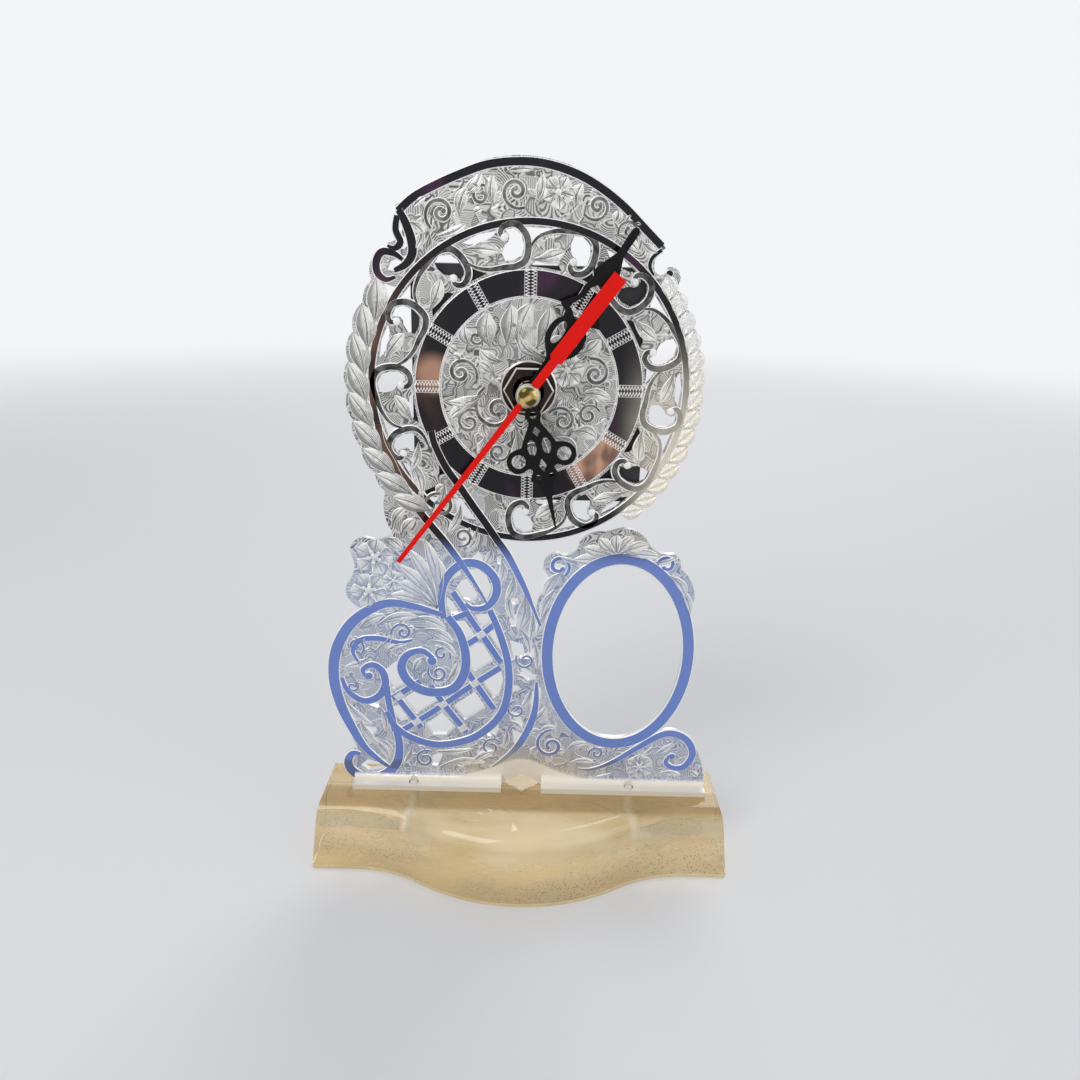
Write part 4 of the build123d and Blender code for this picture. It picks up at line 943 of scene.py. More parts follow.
def make_disc():
    """Scrolls, leaves and a flower inside the chapter ring, round the nut."""
    work = Relief("disc_engraving")
    work.curl((-16.2, 3.4), 4.1, -20, 540, 1.6, inner=0.16, leaves=2)
    work.curl((-7.4, -5.2), 6.2, 120, 520, 1.7, inner=0.18, leaves=4)
    work.curl((-14.2, -8.4), 3.4, 60, 430, 1.3)
    work.curl((15.6, 3.8), 3.9, 110, -540, 1.5, inner=0.16, leaves=0)
    work.curl((8.3, -7.6), 3.9, 150, -470, 1.4, inner=0.2, leaves=4)
    work.curl((14.4, -6.0), 2.9, 20, 430, 1.2)
    work.curl((0.8, -15.2), 3.5, 200, 450, 1.3)
    work.curl((-7.2, -15.4), 2.9, 10, -430, 1.2)
    work.curl((9.6, 14.8), 3.3, 250, 440, 1.3)
    work.curl((-12.6, 11.6), 2.5, 100, -400, 1.1)
    work.flower((9.0, 4.6), 4.2, 6, 75)
    leaves = [
        ((-13.8, 9.8), (-15.2, 14.2), 3.0, 0.12), ((-9.2, 9.4), (-9.6, 17.6), 4.2, 0.10),
        ((-5.6, 9.6), (-4.6, 19.4), 4.6, -0.08), ((-2.2, 9.2), (0.6, 20.0), 4.2, 0.10),
        ((1.4, 9.4), (4.4, 19.2), 3.9, -0.10), ((4.6, 9.4), (8.4, 11.6), 2.6, 0.14),
        ((-6.2, 6.4), (-11.8, 9.2), 2.6, 0.16), ((-8.2, 2.6), (-12.4, 6.2), 2.6, -0.16),
        ((-10.6, -1.2), (-19.2, -3.4), 2.6, 0.14), ((-12.4, -4.4), (-19.0, -7.6), 2.3, -0.14),
        ((-2.8, -9.4), (-4.0, -19.6), 3.0, 0.12), ((3.4, -9.8), (5.2, -19.2), 3.2, -0.12),
        ((6.2, -11.6), (11.6, -16.4), 3.2, 0.14), ((11.0, -10.0), (16.8, -11.8), 3.0, 0.14),
        ((12.0, 8.6), (16.4, 12.2), 3.0, -0.14), ((11.2, 10.4), (13.6, 15.6), 2.6, 0.10),
        ((12.2, -1.2), (19.8, -2.2), 2.4, 0.12), ((-10.4, -11.6), (-12.4, -16.0), 2.6, 0.14),
        ((3.2, 8.0), (-2.6, 12.8), 2.6, 0.2), ((-16.8, 8.6), (-18.6, 9.6), 1.6, 0.1),
    ]
    work.leaves(leaves, leaf_widening)
    return work.finish()


# Dial ring of running scrolls: each point is a share of the pitch and of the ring's width
scroll_pitch = 27.0
scroll_start = 178.0
scroll_count = 11
filigree_inner = 27.3
filigree_outer = 36.6
outer_band_shares = [
    (0.80, 0.60), (0.66, 0.30), (0.46, 0.13), (0.22, 0.085), (0.0, 0.07), (-0.165, 0.20), (-0.215, 0.50),
    (-0.18, 0.80), (-0.06, 1.03), (0.09, 1.03), (0.165, 0.90), (0.125, 0.77),
]
inner_band_shares = [
    (0.80, 0.38), (0.66, 0.72), (0.46, 0.90), (0.26, 0.985), (0.04, 1.06), (-0.13, 0.95), (-0.21, 0.66),
    (-0.22, 0.38), (-0.15, 0.17), (-0.01, 0.09), (0.085, 0.20), (0.06, 0.335),
]
filigree_leaves = [
    ((0.74, 0.80), (0.22, 0.47), 3.3, 0.05, 0.62), ((0.60, 0.74), (0.30, 0.70), 1.2, 0.1, 0.5),
]


def ring_place(turn, pair):
    """A place in the dial ring from its shares of the pitch and of the ring's width."""
    reach = filigree_inner + pair[1] * (filigree_outer - filigree_inner)
    return from_centre(centre, reach, turn + pair[0] * scroll_pitch)


def make_filigree():
    """Scrolls round the dial ring, from its outer and its inner edge by turns, each with two leaves."""
    work = Relief("filigree_engraving")
    turns = [scroll_start - index * scroll_pitch for index in range(-1, scroll_count)]
    for index, turn in enumerate(turns):
        outward = index % 2 == 0
        shares = outer_band_shares if outward else inner_band_shares
        if index == 0:
            shares = shares[3:]
        band = smooth([ring_place(turn, pair) for pair in shares], 4)
        work.ribbon(band, 2.05, (0.3, 0.75), top=DARK_MIRROR)
        work.ball(band[-1], 0.98, 0.26, BRIGHT)
        if index == 0:
            continue
        for root, tip, width, bend, belly in filigree_leaves:
            if not outward:
                root, tip, bend = (root[0], 1 - root[1]), (tip[0], 1 - tip[1]), -bend
            work.leaf(ring_place(turn, root), ring_place(turn, tip), width, bend, belly)
    return work.finish()


laurel_turns = (151.5, 226.0)
laurel_count = 9
laurel_reach = 40.8
bead_turns = (37.5, -48.5)
bead_count = 14
bead_reach = 39.5


def row_round(reach, turns, count, half, lean):
    """Roots and tips of a row round the dial, each leaning by an angle from the line of the ring."""
    row = []
    for index in range(count):
        turn = turns[0] + (turns[1] - turns[0]) * index / (count - 1)
        middle = from_centre(centre, reach, turn)
        slant = turn - 90 + lean
        row.append((from_centre(middle, -half, slant), from_centre(middle, half, slant)))
    return row


def make_wreath():
    """Laurel leaves down the left of the dial ring and a rope of beads down its right."""
    work = Relief("wreath_engraving")
    for root, tip in row_round(laurel_reach, laurel_turns, laurel_count, 5.2, 24):
        work.leaf(root, tip, 5.3, -0.05, dome=0.36, steps=12)
    for root, tip in row_round(bead_reach, bead_turns, bead_count, 2.9, -30):
        work.leaf(root, tip, 4.1, 0.08, belly=0.5, dome=0.5, steps=10, mark=FROSTED)
    return work.finish()


crest_rim = [
    (-30.0, 39.3), (-26.5, 42.3), (-21.8, 44.8), (-16.0, 47.3), (-10.2, 49.3), (-4.0, 50.1), (2.0, 49.9),
    (8.2, 48.4), (14.0, 45.8), (20.2, 41.6), (25.8, 36.5), (29.4, 33.2),
]
crest_rim_inset = 0.45
crest_end = [(-29.8, 39.2), (-28.4, 36.6), (-27.2, 33.2), (-27.0, 30.0), (-28.6, 27.6), (-31.2, 26.2)]
crest_end_branch = [(-30.2, 38.0), (-30.6, 35.0), (-29.6, 32.4), (-31.0, 31.0), (-32.6, 31.6)]
crest_end_curl = [
    (-29.2, 28.6), (-31.2, 29.9), (-33.8, 30.2), (-35.2, 28.2), (-35.0, 25.6), (-33.2, 24.2), (-31.0, 24.8),
]
crest_hook = [(29.5, 32.0), (27.5, 30.3), (27.0, 28.3), (28.0, 26.5)]


def make_crest():
    """The crest over the dial: its rim and hooked ends, scrolls, a flower and leaves."""
    work = Relief("crest_engraving")
    rim = [(across, up - crest_rim_inset) for across, up in crest_rim]
    work.ribbon(smooth(rim), 2.3, rise=0.13)
    work.ribbon(smooth(crest_end), 2.6, (0.8, 0.6), rise=0.16)
    work.ribbon(smooth(crest_end_branch), 2.1, (0.9, 0.4), rise=0.14)
    work.ribbon(smooth(crest_end_curl), 2.3, (0.6, 0.5), rise=0.14)
    work.curl((-20.4, 38.8), 4.1, 235, -560, 1.5, inner=0.16, leaves=0)
    work.curl((-3.6, 43.6), 3.9, 300, -560, 1.5, inner=0.16, leaves=0)
    work.curl((14.6, 40.9), 3.5, 210, 540, 1.4, inner=0.17, leaves=0)
    work.curl((22.0, 35.8), 2.7, 200, -430, 1.2)
    work.curl((-11.4, 42.4), 2.7, 30, 400, 1.2)
    work.flower((5.8, 43.6), 3.7, 5, 60)
    work.ribbon(smooth(crest_hook), 1.4, (0.9, 0.5), rise=0.15)
    work.ball((31.6, 26.9), 1.0, 0.28)
    leaves = [
        ((-27.4, 36.6), (-24.2, 34.0), 2.0, 0.1), ((-24.8, 35.4), (-26.2, 31.2), 2.0, 0.1),
        ((-16.6, 42.6), (-11.4, 47.4), 2.6, -0.16), ((-16.2, 37.8), (-14.2, 44.4), 2.6, 0.12),
        ((-13.0, 38.6), (-11.0, 39.8), 1.6, 0.1), ((-8.4, 40.4), (-8.6, 47.0), 2.6, 0.14),
        ((0.6, 41.0), (2.0, 47.4), 2.4, -0.12), ((9.8, 40.8), (11.2, 45.6), 2.4, 0.12),
        ((18.4, 37.2), (19.2, 40.4), 2.2, -0.1), ((18.2, 35.0), (24.4, 31.2), 2.2, 0.12),
        ((25.0, 33.6), (28.6, 31.4), 2.0, -0.1), ((-22.0, 33.6), (-14.6, 36.8), 1.8, -0.08),
        ((-26.6, 39.6), (-23.4, 42.2), 1.5, 0.08), ((-6.0, 47.4), (0.4, 48.0), 1.5, 0.08),
    ]
    work.leaves(leaves, leaf_widening)
    return work.finish()


# Lines of the stem, the lobe and the lattice between them
left_strap = [
    (-36.2, -9.4), (-35.5, -14), (-33, -19), (-30.5, -25), (-27, -30.5), (-24, -34.5), (-20, -39.5),
    (-16.5, -44.5), (-14.5, -47.5), (-12, -51.5), (-9.8, -55.5),
]
right_strap = [
    (-23.4, -10.6), (-22.6, -14), (-20, -19.5), (-16.5, -24.5), (-13.5, -29), (-10, -34), (-7, -38.5),
    (-4.3, -42.5), (-1, -49), (0.8, -53), (2, -56), (4.3, -61.5),
]
stem_hook = [
    (-21.0, -60.0), (-21.6, -54.4), (-20.2, -48.8), (-16.2, -44.8), (-11.4, -45.0), (-7.8, -48.6),
    (-7.4, -53.0), (-10.0, -56.6), (-13.6, -57.0), (-15.2, -55.6),
]
fan_root = (-22.6, -57.2)
fan_tips = [(-25.6, -38.4), (-29.8, -41.0), (-32.6, -45.4), (-34.4, -49.8), (-34.8, -53.8), (-22.6, -43.0)]
lattice_border = [
    (-9, -57.4), (-6.5, -63.6), (-4.2, -72), (-3.9, -80), (-5.4, -87), (-9.4, -92.4), (-15, -96.2),
    (-23, -97.9), (-30, -96.0), (-34.5, -92.6), (-37, -88),
]
lattice_down = [
    [(-18.6, -52.6), (-15.9, -56.8), (-14.0, -60.0), (-11.8, -63.4), (-10.2, -65.8), (-7.2, -70.6),
     (-6.0, -72.4)],
    [(-24.8, -79.8), (-20.4, -86.6), (-16.9, -91.4), (-15.2, -93.8)],
    [(-15.0, -75.2), (-11.7, -80.4), (-9.0, -84.6), (-7.8, -86.4)],
    [(-34.4, -82.8), (-32.9, -85.0), (-29.8, -89.4), (-27.6, -92.6)],
]
lattice_up = [
    [(-33.2, -94.0), (-27.7, -90.15), (-22.3, -86.15), (-13.0, -78.9), (-6.2, -74.0)],
    [(-35.2, -83.8), (-34.0, -83.0), (-29.3, -79.8), (-27.6, -78.6)],
    [(-16.8, -68.4), (-12.6, -65.7), (-8.0, -61.6), (-6.8, -60.6)],
    [(-18.8, -60.3), (-16.6, -59.2), (-14.4, -58.3)],
]
lattice_crossings = [
    (-28.8, -90.9), (-21.5, -85.4), (-12.9, -78.8), (-11.3, -64.5), (-33.3, -83.2), (-16.2, -92.6),
]
lobe_band = [
    (-21.5, -59), (-28, -57), (-35, -56), (-41, -58.5), (-46, -63), (-49.6, -70), (-50.6, -78),
    (-49.2, -86), (-46.5, -93), (-43.4, -99), (-39.6, -103), (-36.4, -105.5),
]
centre_curl = [
    (-24, -71.5), (-27, -69.5), (-31, -71), (-32.4, -75), (-30, -79.4), (-25, -81.7), (-19, -80.7),
    (-15.8, -76), (-15.4, -70), (-17, -64), (-20, -59.5),
]
small_curl = [
    (-48.5, -78), (-47, -82), (-43, -84.8), (-39, -83.5), (-37, -80), (-37.5, -76), (-40.2, -74.0),
    (-42.8, -75.6), (-41.6, -78.2),
]
foot_curl = [
    (-34.5, -93), (-33.7, -98), (-34.2, -103), (-36.5, -106.6), (-40, -108.6), (-44, -108.8),
    (-47.2, -106.6), (-48.0, -103.6), (-46.6, -101.2), (-44.6, -101.4),
]
lobe_stalk = [(-36.6, -80.2), (-36.2, -84.8), (-35.4, -89.6), (-34.8, -94.0)]
lobe_tendril = [
    (-43.6, -73.6), (-45.2, -70.0), (-43.0, -66.8), (-38.4, -66.2), (-33.0, -67.2), (-29.4, -66.4),
]


def make_stem():
    """The two straps, the laurel's foot and the leaves between them."""
    work = Relief("stem_engraving")
    work.ribbon(smooth(left_strap), 2.4, (0.9, 0.3), rise=0.2)
    work.ribbon(smooth(right_strap), 2.4, (0.9, 0.4), rise=0.2)
    work.ribbon(smooth(stem_hook), 2.8, (0.8, 0.45), rise=0.16)
    work.curl((-21.4, -29.6), 4.4, 190, -420, 1.5)
    work.curl((-16.0, -37.4), 2.8, 250, 420, 1.2)
    leaves = [
        ((-29.4, -17.4), (-26.0, -27.0), 3.4, 0.08), ((-26.6, -13.4), (-29.0, -21.0), 2.6, 0.1),
        ((-20.4, -23.2), (-23.6, -32.0), 2.8, 0.1), ((-16.4, -29.0), (-19.6, -36.4), 2.8, 0.1),
        ((-12.2, -34.4), (-15.2, -41.8), 2.6, 0.1), ((-8.6, -40.2), (-10.6, -45.0), 2.4, 0.1),
        ((-6.2, -43.4), (-6.6, -50.0), 2.6, 0.12), ((-3.0, -47.4), (-5.2, -55.2), 2.8, 0.1),
        ((0.0, -52.8), (-1.4, -63.2), 4.2, 0.06), ((-3.8, -52.6), (-2.8, -60.0), 2.4, -0.1),
        ((2.2, -58.0), (1.4, -66.4), 2.2, 0.05),
        ((-33.6, -35.0), (-30.0, -30.2), 3.0, 0.1), ((-31.4, -37.4), (-27.6, -33.0), 2.8, 0.1),
    ]
    work.leaves(leaves)
    for tip in fan_tips:
        work.leaf(fan_root, tip, 3.6, -0.07, belly=0.66)
    work.flower((-38.5, -43.5), 5.0, 5, 80)
    work.flower((-40.2, -52.6), 4.9, 5, 120)
    work.flower((-33.8, -49.8), 2.9, 5, 30)
    work.leaf((-35.6, -38.2), (-31.2, -41.2), 2.6, 0.1)
    return work.finish()


def make_lobe():
    """The big lobe with its scrolls, and the lattice beside it."""
    work = Relief("lobe_engraving")
    for number, run in enumerate(lattice_up + lattice_down):
        work.ribbon(smooth(run, 3), 2.1, rise=0.08 + 0.03 * (number % 2), edge=0.24)
    for across, up in lattice_crossings:
        square = [(across + 1.0 * step, up + 0.72 * step) for step in (-1, 0, 1)]
        work.ribbon(square, 2.2, rise=0.16, edge=0.2, top=FROSTED)
    work.ribbon(smooth(lattice_border), 2.7, (0.8, 0.8), rise=0.16)
    work.ribbon(smooth(lobe_band), 3.4, (0.55, 0.4), rise=0.18)
    work.ribbon(smooth(centre_curl), 3.1, (0.55, 0.8), rise=0.16)
    work.ball((-24.3, -72.4), 1.6, 0.3)
    work.ribbon(smooth(small_curl), 2.6, (0.6, 0.5), rise=0.15)
    work.ball((-41.2, -77.2), 1.3, 0.34)
    work.ribbon(smooth(foot_curl), 3.3, (0.7, 0.5), rise=0.17)
    work.ribbon(smooth(lobe_stalk), 2.3, rise=0.14)
    work.ribbon(smooth(lobe_tendril), 2.1, (0.4, 0.4), rise=0.13)
    work.curl((-31.8, -64.4), 3.3, 200, -460, 1.3, inner=0.2)
    work.curl((-21.8, -70.4), 2.6, 330, 400, 1.1)
    work.curl((-22.6, -76.0), 3.0, 150, 420, 1.2)
    work.curl((-44.4, -68.6), 2.6, 300, 400, 1.1)
    work.curl((-45.8, -80.6), 1.9, 60, -380, 0.9)
    leaves = [
        ((-43.2, -63.6), (-36.0, -59.4), 2.8, 0.1), ((-38.6, -62.6), (-27.4, -59.8), 3.0, 0.1),
        ((-30.0, -60.6), (-20.2, -63.4), 3.0, 0.12), ((-26.4, -63.2), (-18.4, -67.2), 2.8, 0.1),
        ((-24.4, -66.4), (-17.6, -71.6), 2.4, 0.12), ((-39.6, -70.0), (-34.4, -64.6), 2.8, -0.1),
        ((-40.8, -71.6), (-47.6, -74.6), 2.4, 0.1), ((-47.6, -72.2), (-46.2, -64.8), 2.2, 0.1),
        ((-29.0, -75.6), (-27.0, -71.6), 2.0, 0.1), ((-20.6, -78.6), (-17.4, -72.0), 2.2, -0.1),
        ((-36.6, -70.4), (-30.6, -67.6), 1.9, 0.1),
        ((-47.6, -84.6), (-40.4, -92.2), 2.6, -0.12), ((-44.2, -90.2), (-39.0, -98.6), 2.6, -0.1),
        ((-38.6, -86.6), (-37.4, -94.4), 2.4, 0.1), ((-41.0, -96.6), (-36.4, -103.4), 2.4, 0.08),
        ((-38.6, -97.0), (-35.6, -100.6), 1.8, 0.1),
    ]
    work.leaves(leaves)
    return work.finish()


oval_middle = (24.8, -69.3)
oval_across = 18.6
oval_up = 26.9
shell_root = (23.2, -41.4)
shell_tips = [
    (12.0, -43.0), (14.6, -39.6), (18.4, -37.0), (22.8, -36.0), (27.2, -36.4), (31.2, -38.4), (34.2, -41.6),
]
leaf_column = [(3.6, -78.0), (3.4, -86.0), (1.4, -93.0), (-2.4, -99.4), (-8.2, -104.6)]
foot_band = [
    (15.6, -104.6), (19.5, -104.6), (25, -102.2), (32, -97.2), (38, -93.2), (42, -92.9), (45.4, -95.0),
    (47.0, -99), (45.2, -102.8), (42.3, -103.6), (39.8, -102), (40.8, -99.6),
]


def make_oval():
    """The polished oval band, the shell above it and the column of leaves on its left."""
    work = Relief("oval_engraving")
    outline = whole(oval_middle, oval_across, 96, oval_up)
    work.ribbon(outline, 3.5, closed=True, rise=0.18, edge=0.34)
    for tip in shell_tips:
        work.leaf(shell_root, tip, 3.4, 0.03, belly=0.66)
    work.curl((8.6, -44.8), 3.0, 300, 380, 1.6, inner=0.4, top=POLISHED, leaves=0)
    work.curl((36.0, -43.8), 2.7, 230, -360, 1.5, inner=0.4, top=POLISHED, leaves=0)
    leaves = [
        ((9.6, -46.4), (5.0, -53.4), 3.2, -0.1), ((8.0, -51.0), (4.4, -59.4), 2.8, -0.08),
        ((6.6, -56.0), (3.4, -64.6), 2.2, -0.06), ((36.6, -46.6), (41.6, -52.6), 3.2, 0.1),
        ((39.4, -50.0), (43.0, -57.4), 2.6, 0.1), ((37.6, -48.6), (39.8, -54.6), 2.0, 0.08),
        ((13.6, -43.4), (8.8, -42.2), 2.0, 0.1), ((32.6, -43.2), (38.2, -41.6), 2.0, -0.1),
    ]
    work.leaves(leaves)
    work.ribbon(smooth(leaf_column), 2.5, (0.5, 0.3), rise=0.15)
    work.curl((0.6, -71.6), 2.8, 150, 380, 1.0, inner=0.35)
    work.curl((-1.6, -86.6), 2.8, 100, 400, 0.95, inner=0.35)
    work.curl((-8.4, -98.4), 3.0, 40, 400, 1.0, inner=0.35)
    column_leaves = [
        ((-1.2, -62.4), (1.6, -69.4), 2.2, 0.1), ((2.6, -66.0), (3.6, -74.6), 2.0, 0.05),
        ((-2.6, -76.0), (1.6, -78.6), 1.8, 0.1), ((2.2, -79.6), (-0.6, -86.0), 2.2, 0.1),
        ((-3.4, -90.0), (0.2, -93.4), 2.0, 0.1), ((-4.4, -92.6), (-5.2, -98.4), 2.0, 0.1),
    ]
    work.leaves(column_leaves)
    return work.finish()


def make_foot():
    """Leaves, curls and bands along the foot of the sheet."""
    work = Relief("foot_engraving")
    work.ribbon(smooth(foot_band), 2.5, (0.3, 0.6), rise=0.16)
    work.ball((41.4, -99.8), 1.1, 0.34)
    work.curl((8.0, -97.4), 5.0, 90, 480, 1.6, inner=0.2, leaves=4)
    work.curl((-26.6, -102.6), 3.0, 60, 420, 1.1, inner=0.35)
    work.curl((20.6, -99.6), 2.4, 200, -400, 1.1)
    work.flower((32.6, -103.4), 3.9, 6, 90)
    leaves = [
        ((-24.0, -99.8), (-13.4, -98.8), 2.2, -0.08), ((-22.6, -104.8), (-9.8, -103.4), 2.8, 0.08),
        ((-30.4, -99.0), (-33.0, -104.6), 2.2, 0.1), ((-14.4, -104.6), (-7.0, -99.4), 2.2, 0.1),
        ((2.4, -90.4), (6.4, -85.0), 2.4, -0.1), ((4.2, -93.4), (9.6, -91.6), 2.0, 0.1),
        ((12.2, -99.0), (18.0, -96.4), 2.6, 0.1), ((13.4, -102.6), (20.4, -102.6), 2.0, 0.1),
        ((24.8, -99.6), (30.0, -95.6), 1.8, 0.1), ((36.2, -99.4), (41.4, -95.4), 2.2, -0.1),
        ((38.0, -105.6), (44.6, -106.0), 1.9, 0.1), ((25.4, -105.6), (20.6, -107.0), 1.7, 0.1),
        ((46.4, -104.4), (49.0, -106.6), 1.7, 0.1), ((36.0, -97.0), (33.0, -99.8), 1.7, 0.1),
    ]
    work.leaves(leaves)
    return work.finish()


make_dial()
make_disc()
make_filigree()
make_wreath()
make_crest()
make_stem()
make_lobe()
make_oval()
make_foot()

# Hands: each is drawn pointing to twelve and turned to its place
hour_turn = 167.5
minute_turn = 32.5
second_turn = 216.8
hand_thickness = 0.4
hand_edge = 0.06
hour_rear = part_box("hour_hand")[1][1] / MM
minute_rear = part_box("minute_hand")[1][1] / MM
second_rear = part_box("second_hand")[1][1] / MM
hour_pipe = 2.5
minute_pipe = 1.6
second_shaft = 0.55


def mirrored(right):
    """A whole outline from its right half."""
    return right + [(-across, up) for across, up in reversed(right)]


def ring_of(across, up, wide, high, steps=20):
    """A round or oval hole, given by its middle and its whole width and height."""
    return whole((across, up), wide / 2, steps, high / 2)


def diamond(across, up, wide, high):
    """A hole with four corners, given in the same way."""
    return whole((across, up), wide / 2, 4, high / 2)


def make_hour_hand():
    """A black hand with scrolled sides and cut openings."""
    edge = smooth(mirrored([
        (3.0, 1.9), (2.0, 3.2), (1.5, 3.9), (1.95, 5.4), (1.4, 6.9), (1.8, 8.0), (2.7, 9.6), (3.7, 11.4),
        (4.2, 12.5), (5.4, 12.7), (7.2, 13.4), (8.3, 15.0), (8.2, 16.8), (7.0, 18.3), (5.2, 18.6),
        (3.6, 17.9), (2.6, 18.4), (3.1, 19.6), (3.5, 20.8), (2.2, 21.7), (1.6, 23.0), (0.9, 25.0),
        (0.6, 27.0), (0.2, 33.2),
    ]), 3, closed=True)
    holes = [
        ring_of(0, 0, 2 * hour_pipe, 2 * hour_pipe, 40), ring_of(0, 5.4, 1.6, 1.7),
        diamond(0, 9.3, 1.9, 2.4), ring_of(1.75, 13.0, 2.1, 3.9), ring_of(-1.75, 13.0, 2.1, 3.9),
        ring_of(5.5, 15.7, 3.4, 3.4), ring_of(-5.5, 15.7, 3.4, 3.4), diamond(0, 17.6, 1.8, 3.4),
        ring_of(1.6, 20.3, 1.3, 1.2), ring_of(-1.6, 20.3, 1.3, 1.2),
    ]
    piece = flat_shape("openwork_hour_hand", [edge] + holes, hand_thickness, hour_rear, hour_turn, hand_edge)
    return place_on(piece, "hour_motion", (black_lacquer,), ("hour_hand",))


def make_minute_hand():
    """A longer black hand, with a window above its two round openings."""
    edge = smooth(mirrored([
        (2.4, 1.2), (1.4, 2.6), (1.15, 4.4), (1.2, 8.2), (1.5, 9.6), (2.9, 11.2), (4.1, 13.0),
        (4.45, 15.4), (4.0, 17.6), (3.0, 19.0), (3.6, 20.2), (5.2, 20.8), (4.4, 22.2), (3.2, 23.8),
        (2.7, 25.4), (2.85, 27.2), (2.2, 28.9), (2.9, 30.8), (2.2, 33.2), (1.2, 35.6), (0.85, 37.0),
        (0.8, 42.4),
    ]), 3, closed=True)
    window = smooth(mirrored([(0.9, 20.0), (2.0, 20.9), (3.2, 21.6), (2.4, 23.0), (1.6, 25.0), (1.4, 27.0),
                              (0.5, 28.4)]), 3, closed=True)
    holes = [ring_of(0, 0, 2 * minute_pipe, 2 * minute_pipe, 36), ring_of(1.95, 15.3, 2.3, 5.6),
             ring_of(-1.95, 15.3, 2.3, 5.6), window]
    piece = flat_shape("openwork_minute_hand", [edge] + holes, hand_thickness, minute_rear, minute_turn,
                       hand_edge)
    return place_on(piece, "minute_motion", (black_lacquer,), ("minute_hand",))


def make_second_hand():
    """A red needle with a round hub and a broad tail."""
    left_hub = arc(centre, 1.98, 114, 239, 10)
    right_hub = arc(centre, 1.98, 301, 426, 10)
    needle = [(0.56, 51.3), (-0.56, 51.3)]
    tail = [(-1.02, -9.6), (-1.7, -10.3), (-1.7, -32.8), (1.7, -32.8), (1.7, -10.3), (1.02, -9.6)]
    hole = ring_of(0, 0, 2 * second_shaft, 2 * second_shaft, 20)
    piece = flat_shape("red_second_hand", [needle + left_hub + tail + right_hub, hole], hand_thickness,
                       second_rear, second_turn, 0.04)
    return place_on(piece, "second_motion", (red_lacquer,), ("second_hand",))


make_hour_hand()
make_minute_hand()
make_second_hand()

# Cap, nut, washer and bush on the dial's axis. Heights are measured forward from the sheet
cap_rear = -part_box("second_hand_cap")[1][1] / MM
cap_front = -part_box("second_hand_cap")[0][1] / MM
cap_radius = 2.85
nut_front = -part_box("hex_nut")[0][1] / MM
nut_rear = -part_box("hex_nut")[1][1] / MM
bush_front = -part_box("threaded_bush")[0][1] / MM
bush_radius = 3.9
nut_width = 10.5
washer_radius = (washer_high[0] - washer_low[0]) / 2 / MM


def make_cap():
    """A low wall under a dome."""
    rim = cap_rear + 0.9
    wall = [(0.0, cap_rear + 0.02), (cap_radius - 0.15, cap_rear + 0.02),
            (cap_radius - 0.02, cap_rear + 0.15), (cap_radius - 0.02, rim - 0.1)]
    dome = [(cap_radius * cos(radians(turn)) ** 0.9, rim + (cap_front - rim) * sin(radians(turn)))
            for turn in range(0, 90, 9)]
    profile = wall + dome + [(0.0, cap_front)]
    piece = on_dial("domed_cap", profile)
    return place_on(piece, "second_motion", (cap_brass,), ("second_hand_cap",))


def brighten_rim(piece, radius):
    """Gives the front faces beyond a radius the second finish, as an edge that light catches."""
    for polygon in piece.data.polygons:
        reach = hypot(polygon.center.x, polygon.center.z - dial_height * MM)
        polygon.material_index = 1 if reach > radius * MM and polygon.normal.y < -0.3 else 0


def make_washer():
    """A flat ring with a rounded edge, between the sheet and the nut."""
    outer = washer_radius
    front = nut_rear - 0.01
    profile = [(bush_radius, 0.0), (outer - 0.1, 0.0), (outer, 0.12), (outer, 0.6), (outer - 0.25, front),
               (outer - 0.42, front), (outer - 0.8, front - 0.02), (bush_radius, front - 0.02),
               (bush_radius, 0.0)]
    piece = on_dial("flat_washer", profile)
    brighten_rim(piece, outer - 0.45)
    return place_on(piece, "root", (dark_metal, edge_metal), ("front_washer",))


def make_nut():
    """A hexagon spun in six steps, whose chamfer catches the light."""
    corner = nut_width / 2 / cos(radians(30))
    profile = [(bush_radius, nut_rear), (corner, nut_rear), (corner, nut_front - 0.32),
               (corner - 0.40, nut_front), (bush_radius, nut_front), (bush_radius, nut_rear)]
    piece = on_dial("chamfered_nut", profile, steps=6)
    for polygon in piece.data.polygons:
        polygon.material_index = 1 if -0.95 < polygon.normal.y < -0.2 else 0
    return place_on(piece, "root", (dark_metal, edge_metal), ("hex_nut",))


def make_bush():
    """The thread that stands before the nut, and its bore."""
    bore, rear, pitch = 2.58, nut_rear - 3.4, 0.28
    profile = [(bore, rear), (bush_radius, rear)]
    level = nut_front - 0.3
    while level < bush_front - 0.3:
        profile += [(bush_radius, level), (bush_radius - 0.16, level + pitch / 2)]
        level += pitch
    profile += [(bush_radius - 0.25, bush_front), (bore + 0.12, bush_front), (bore, bush_front - 0.12),
                (bore, rear)]
    piece = on_dial("thread_front", profile)
    brighten_rim(piece, bush_radius - 0.35)
    return place_on(piece, "root", (dark_metal, edge_metal))


make_cap()
make_washer()
make_nut()
make_bush()

# Base: clear block with a rounded upper front edge, on its tan pad
block_half = 56.0
block_back = 10.3
block_side_front = -13.4
bulge_front = -26.2
bulge_radius = 50.0
hollow_radius = 34.78
hollow_centre = 44.8
draft_share = 0.1
front_rounding = 4.0
small_rounding = 0.45
foot_chamfer = 0.12
top_inset = 0.08
pad_lap = 0.04
corner_width = 3.2
side_joint = -3.0


